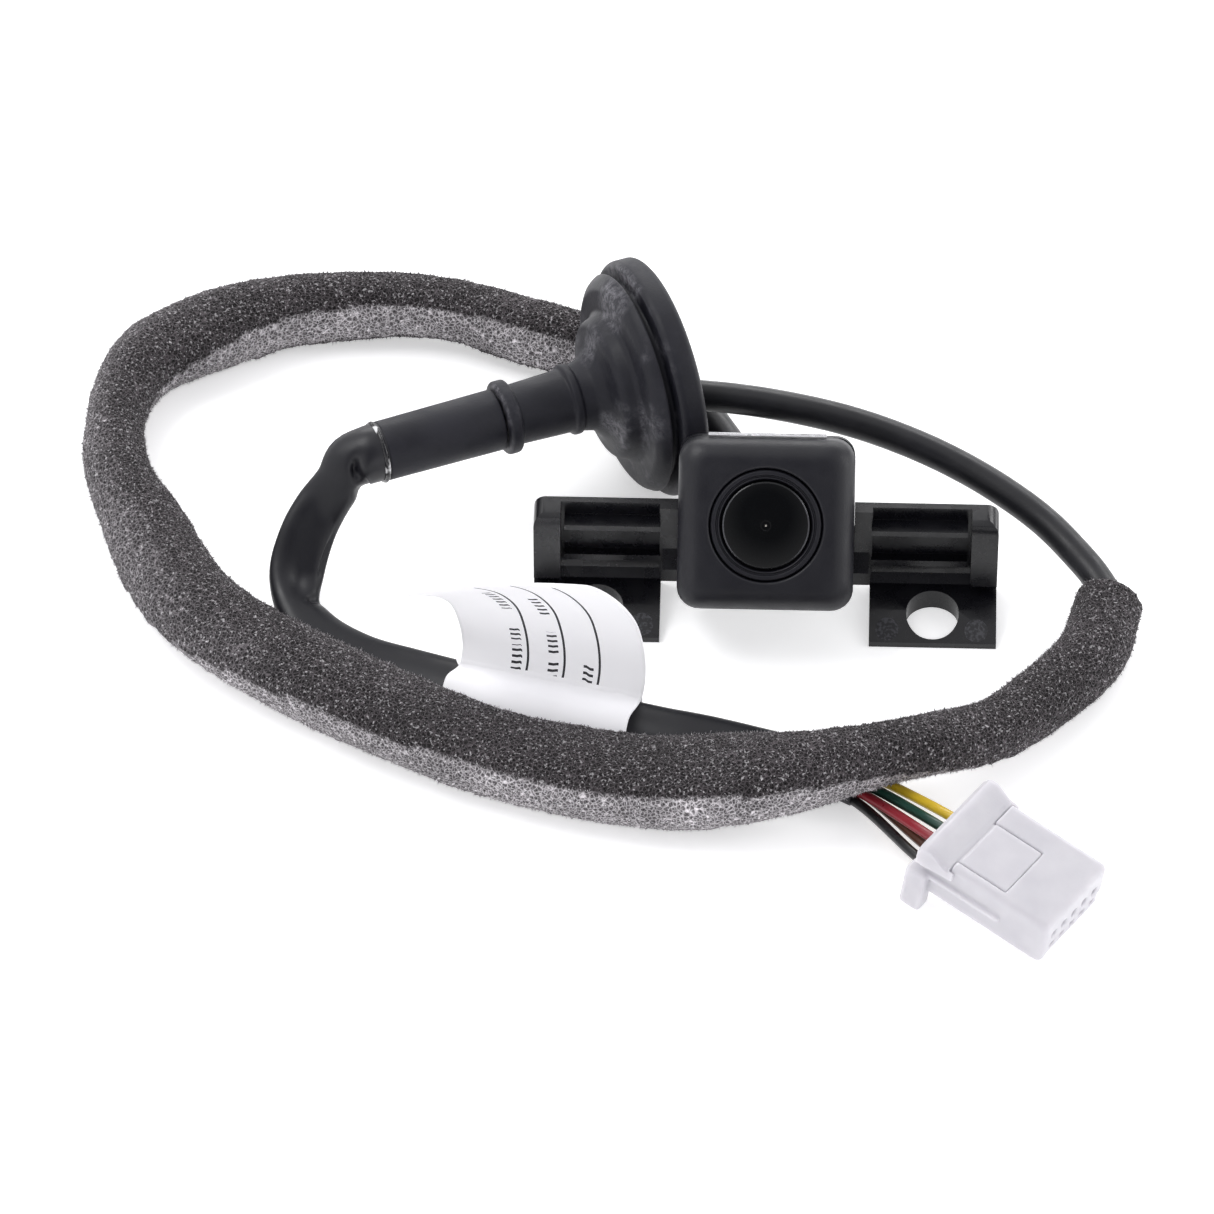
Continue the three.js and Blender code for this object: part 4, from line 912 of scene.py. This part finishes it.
# ---- hard pieces
def refined(node, name, material, slot, width, segments=2, body=MAIN):
    """A copy of a CAD node with its edges rounded, which stands for it."""
    mesh = NODES[node].data.copy()
    with editing(mesh) as work:
        bmesh.ops.remove_doubles(work, verts=work.verts, dist=1e-6)
        bmesh.ops.dissolve_limit(work, angle_limit=radians(1.5), verts=work.verts, edges=work.edges)
    mesh.materials.clear()
    piece = new_object(name, mesh, material)
    modify(piece, "BEVEL", width=width * MM, segments=segments, limit_method="ANGLE",
           angle_limit=radians(30), miter_outer="MITER_ARC")
    modify(piece, "WEIGHTED_NORMAL", keep_sharp=True)
    return finished(piece, slot, node, body=body)


def box_mesh(name, lows, highs, rounding, where):
    """A box between two corners in millimetres, with its edges rounded if asked for."""
    mesh = bpy.data.meshes.new(name)
    with editing(mesh) as work:
        bmesh.ops.create_cube(work, size=1)
        low, high = Vector(lows), Vector(highs)
        for vertex in work.verts:
            vertex.co = [low[k] + (vertex.co[k] + 0.5) * (high[k] - low[k]) for k in range(3)]
        if rounding:
            edges = list(work.edges)
            bmesh.ops.bevel(work, geom=edges, offset=rounding, segments=4, profile=0.5, affect="EDGES")
        for vertex in work.verts:
            vertex.co = where @ (vertex.co * MM)
    return mesh


def box_group(name, boxes, where):
    """One object of several boxes, each given as (low corner, high corner, edge rounding)."""
    mesh = bpy.data.meshes.new(name)
    with editing(mesh) as work:
        for box in boxes:
            part = box_mesh(name, *box, where)
            work.from_mesh(part)
            bpy.data.meshes.remove(part)
    return new_object(name, mesh, smooth=False)


def moulded_solid(name, adds, cuts, where, material, voxel, rounds):
    """Boxes joined and cut by other boxes, then remeshed and softened into one moulding."""
    solid = box_group(name + "_blank", adds, where)
    spares = [solid]
    if cuts:
        tool = box_group(name + "_tool", cuts, where)
        spares.append(tool)
        modify(solid, "BOOLEAN", operation="DIFFERENCE", solver="EXACT", use_self=True, object=tool)
    modify(solid, "REMESH", mode="VOXEL", voxel_size=voxel * MM)
    modify(solid, "SMOOTH", factor=0.5, iterations=rounds)
    mesh = bpy.data.meshes.new_from_object(solid.evaluated_get(bpy.context.evaluated_depsgraph_get()))
    for spare in spares:
        bpy.data.objects.remove(spare)
    mesh.materials.clear()
    return new_object(name, mesh, material)


def rounded_loop(half_x, half_y, corner, count):
    """Points round a rectangle with round corners, at even angles from its middle."""
    points = []
    for angle, c, s in turns(count):
        reach = min(half_x / max(abs(c), 1e-9), half_y / max(abs(s), 1e-9))
        x, y = c * reach, s * reach
        over_x = abs(x) - (half_x - corner)
        over_y = abs(y) - (half_y - corner)
        if over_x > 0 and over_y > 0:
            cx = copysign(half_x - corner, x)
            cy = copysign(half_y - corner, y)
            b = c * cx + s * cy
            reach = b + sqrt(max(b * b - cx * cx - cy * cy + corner * corner, 0))
            x, y = c * reach, s * reach
        points.append((x, y))
    return points


def module_front():
    """The front housing: a soft-edged square shell with a round recess for the lens."""
    half_x, half_y = FRONT_HALF

    def square(inset, corner, height):
        return rounded_loop(half_x - inset, half_y - inset, corner, FRONT_SIDES), height

    rings = [square(0, FRONT_CORNER, height) for height in (FRONT_BACK, FRONT_BACK + 0.15, -5.4, -3.4)]
    for k in range(1, 10):
        angle = pi / 2 * k / 9
        inset = FRONT_EDGE * (1 - cos(angle))
        rings.append(square(inset, max(FRONT_CORNER - inset * 0.35, 0.6), FRONT_EDGE * (sin(angle) - 1)))
    for radius, height in ((8.0, 0.0), (7.8, -0.03), (7.66, -0.15), (7.6, -0.4), (7.58, -2.0), (5.6, -2.0),
                           (5.5, -3.0)):
        rings.append(([(radius * c, radius * s) for angle, c, s in turns(FRONT_SIDES)], height))
    for height in (-3.0, FRONT_BACK):
        rings.append(square(FRONT_WALL, 1.4, height))
    vertices = [MODULE_FRAME @ (Vector((x, y, height)) * MM) for loop, height in rings for x, y in loop]
    mesh = mesh_from("front", vertices, loop_faces(len(rings), FRONT_SIDES, True))
    finished(new_object("front_shell", outward(mesh), SHELL), "shell", "front_housing")


def lens_ring():
    profile = [
        (6.0, -1.7), (7.42, -1.7), (7.42, -0.3), (7.25, 0.02), (6.8, 0.02), (6.66, -0.3), (6.52, -0.3),
        (6.40, -0.08), (6.28, -0.12), (6.1, -0.7), (6.0, -0.9),
    ]
    ring = lathe("lens_bezel", rounded_profile(profile, 0.06), MODULE_FRAME, SHELL, 160)
    finished(ring, "shell", "lens_retaining_ring")


def lens_dome():
    """The front lens: a low dome over a flat back, with a pinhole on its axis."""
    steps = 20
    axis = 0.02
    dome = []
    for k in range(steps + 1):
        share = k / steps
        height = LENS_RIM + (LENS_CROWN - LENS_RIM) * (1 - share * share)
        dome.append((max(LENS_RADIUS * share, axis), height))
    profile = [*dome, (LENS_RADIUS, -0.8), (4.6, -1.1), (axis, -1.1)]
    finished(lathe("front_lens_dome", profile, MODULE_FRAME, GLASS, 128), "glass", "front_lens")


def connector_body():
    """The ten-way housing with its leg, side rail, cavities, latch pocket and stepped mating end."""
    half, side, base, top = CONNECTOR_HALF, CONNECTOR_SIDE, CONNECTOR_BASE, CONNECTOR_TOP
    adds = [
        ((-half, -side, base), (half, side, top), 0.9),
        ((-half - 1.4, -side - 1.4, -2.45), (-half + 1.8, -side + 1.2, 4.7), 0.5),
        ((-half - 0.2, -side - 0.6, 3.9), (half - 7, -side + 1.0, 4.7), 0.35),
    ]
    cuts = [
        ((-half - 2, LEVER_NEAR - SLOT, POCKET_FLOOR), (LEVER_ROOT + SLOT / 3, LEVER_FAR + SLOT, top + 1), 0),
        ((-half - 2, -side - 1, POCKET_FLOOR), (LEVER_REACH - SLOT, side + 1, top + 1), 0),
        ((half - RETAINER_LENGTH - SLOT, -side + 1.4, base - 1), (half + 1, side + 1, base + 1), 0),
        ((half - 8, side - 1.3, base - 1), (half + 1, side + 1, 3.3), 0),
    ]
    for height in CAVITY_ROWS:
        for column in CAVITY_COLUMNS:
            y = column * CAVITY_PITCH
            for back, front, reach in ((-half + 2.4, half + 1, 0.58), (-half - 1, -half + 3.4, 0.95)):
                low = (back, y - reach, height - reach)
                cuts.append((low, (front, y + reach, height + reach), 0.25))
    body = moulded_solid("connector_body", adds, cuts, CONNECTOR_FRAME, NYLON, 0.17, 7)
    finished(body, "nylon", "connector_housing")


def connector_latch():
    """The latch: a tongue that runs back through a shallow valley to a broad raised lip with skirts."""
    half, side, top = CONNECTOR_HALF, CONNECTOR_SIDE, CONNECTOR_TOP
    bottom = 6.95
    start, end = -half - 0.5, LEVER_REACH + 0.35
    lip_end = LEVER_REACH - SLOT - 0.18
    near, far = LIP_OVERHANG
    adds = [
        ((LEVER_REACH, LEVER_NEAR, 7.2), (LEVER_ROOT, LEVER_FAR, top), 0.2),
        ((-half + 0.8, LEVER_NEAR, 7.1), (LEVER_REACH + 0.5, LEVER_FAR, 7.8), 0.1),
    ]
    step = (end - start) / LIP_STEPS
    for k in range(LIP_STEPS):
        x = start + k * step
        behind = max(0.0, 1 - (x - start) / (LIP_CREST + 0.5))
        ahead = min(max((x + half - LIP_CREST) / LIP_RUN, 0.0), 1.0)
        fall = (0.5 - 0.5 * cos(pi * ahead)) * (LIP_HEIGHT - VALLEY_HEIGHT)
        height = LIP_HEIGHT - fall - 0.9 * behind ** 2
        front = x + step * 1.4
        skirt = 5.85 + 0.5 * ahead
        for low, high in ((-side - near, -side - LIP_GAP), (side + LIP_GAP, side + far)):
            adds.append(((x, low, skirt), (front, high, height - 0.35), 0))
        if x < lip_end - step / 2:
            front = min(front, lip_end)
            adds.append(((x, -side + 0.1, bottom), (front, side - 0.1, height), 0))
            adds.append(((x, -side - near * 0.5, 7.3), (front, side + far * 0.5, height - 0.1), 0))
    latch = moulded_solid("connector_latch", adds, [], CONNECTOR_FRAME, NYLON, 0.13, 12)
    finished(latch, "nylon", "latch_lever", body="latch_lever")


def hard_pieces():
    """The module's shell and lens, the bracket and the connector."""
    module_front()
    lens_ring()
    lens_dome()
    refined("rear_housing", "rear_shell", SHELL, "shell", 0.35)
    bracket = refined("bracket", "bracket_moulding", BRACKET, "bracket_plastic", 0.28, 3)
    for vertex in bracket.data.vertices:
        if abs(abs(vertex.co.x) - ARM_INNER * MM) < 0.01 * MM:
            vertex.co.x = copysign(ARM_TOUCH * MM, vertex.co.x)
    refined("connector_retainer", "connector_slide", NYLON, "nylon", 0.12, body="connector_retainer")
    connector_body()
    connector_latch()


def paint(material, *nodes):
    """Gives CAD nodes that keep their own meshes a material."""
    for node in nodes:
        owner = NODES[node]
        if not owner.material_slots:
            owner.data.materials.append(material)
        for slot in owner.material_slots:
            slot.material = material


def paint_cad():
    paint(RUBBER, "housing_gasket", "lens_seal", "cable_gland")
    paint(BARREL, "lens_barrel", "aperture_stop")
    paint(GLASS, "second_lens", "rear_lens", "ir_filter")
    paint(BOARD, "sensor_board", "power_board")
    paint(CHIP, "image_sensor", "board_header")
    paint(STEEL, *["housing_screw_%d" % n for n in (1, 2, 3, 4)], "bracket_screw_left", "bracket_screw_right")
    paint(TIN, *["terminal_" + colour for colour in WIRE_COLOURS])
    paint(FILM, "top_film")


# ---- floor and light
def area_light(name, place, size, energy, target=(-0.02, 0, 0), glossy=True):
    lamp = bpy.data.lights.new(name, "AREA")
    lamp.shape = "RECTANGLE"
    lamp.size, lamp.size_y = size
    lamp.energy = energy
    holder = linked(name, lamp)
    holder.location = place
    holder.rotation_euler = (Vector(place) - Vector(target)).to_track_quat("Z", "Y").to_euler()
    holder.visible_glossy = glossy


def studio():
    """A pale floor and soft light, with the sky darker in front, so that black pieces keep their shading."""
    mesh = mesh_from("floor", [(-4, -4, 0), (4, -4, 0), (4, 4, 0), (-4, 4, 0)], [(0, 1, 2, 3)])
    white = Look("floor_white", Base_Color=(0.93, 0.93, 0.935, 1), Roughness=0.7, Specular_IOR_Level=0.2,
                 Emission_Color=(1, 1, 1, 1), Emission_Strength=0.42)
    new_object("floor", mesh, white.material, smooth=False)
    area_light("key", (-0.5, 0.1, 0.8), (0.5, 0.4), 3.0)
    area_light("back", (0.1, 0.8, 0.45), (1.2, 0.3), 4.6)
    area_light("side", (0.8, 0.0, 0.35), (0.25, 0.6), 1.6)
    area_light("fill", (-0.1, -0.7, 0.5), (0.4, 0.4), 1.3, target=(-0.05, -0.02, 0), glossy=False)
    world = bpy.data.worlds.new("studio")
    world.use_nodes = True
    sky = Nodes(world.node_tree)
    away = sky.add("TexCoord").outputs["Generated"]
    facing = sky.combined("VectorMath", "DOT_PRODUCT", away, (0, -0.72, 0.69))["Value"]
    backdrop = world.node_tree.nodes["Background"].inputs
    dim = sky.ranged(facing, 0.80, 0.96)
    sky.plug(backdrop["Color"], sky.mixed(dim, (0.98, 0.98, 1.0), (0.16, 0.16, 0.18)))
    sky.plug(backdrop["Strength"], 0.88)
    bpy.context.scene.world = world
    bpy.context.scene.view_settings.view_transform = "Standard"


# ---- build
make_camera()
cable, cable_line = camera_cable()
foam, foam_line, foam_surface, foam_pale = foam_sleeve()
foam_fuzz(foam_surface, foam_pale, foam_line)
tube, tube_line = harness_tube()
label = harness_label()
wires()
rubber_parts = grommet()
hard_pieces()
paint_cad()

line_length(cable_line)
line_length(foam_line)
line_length(tube_line)

studio()
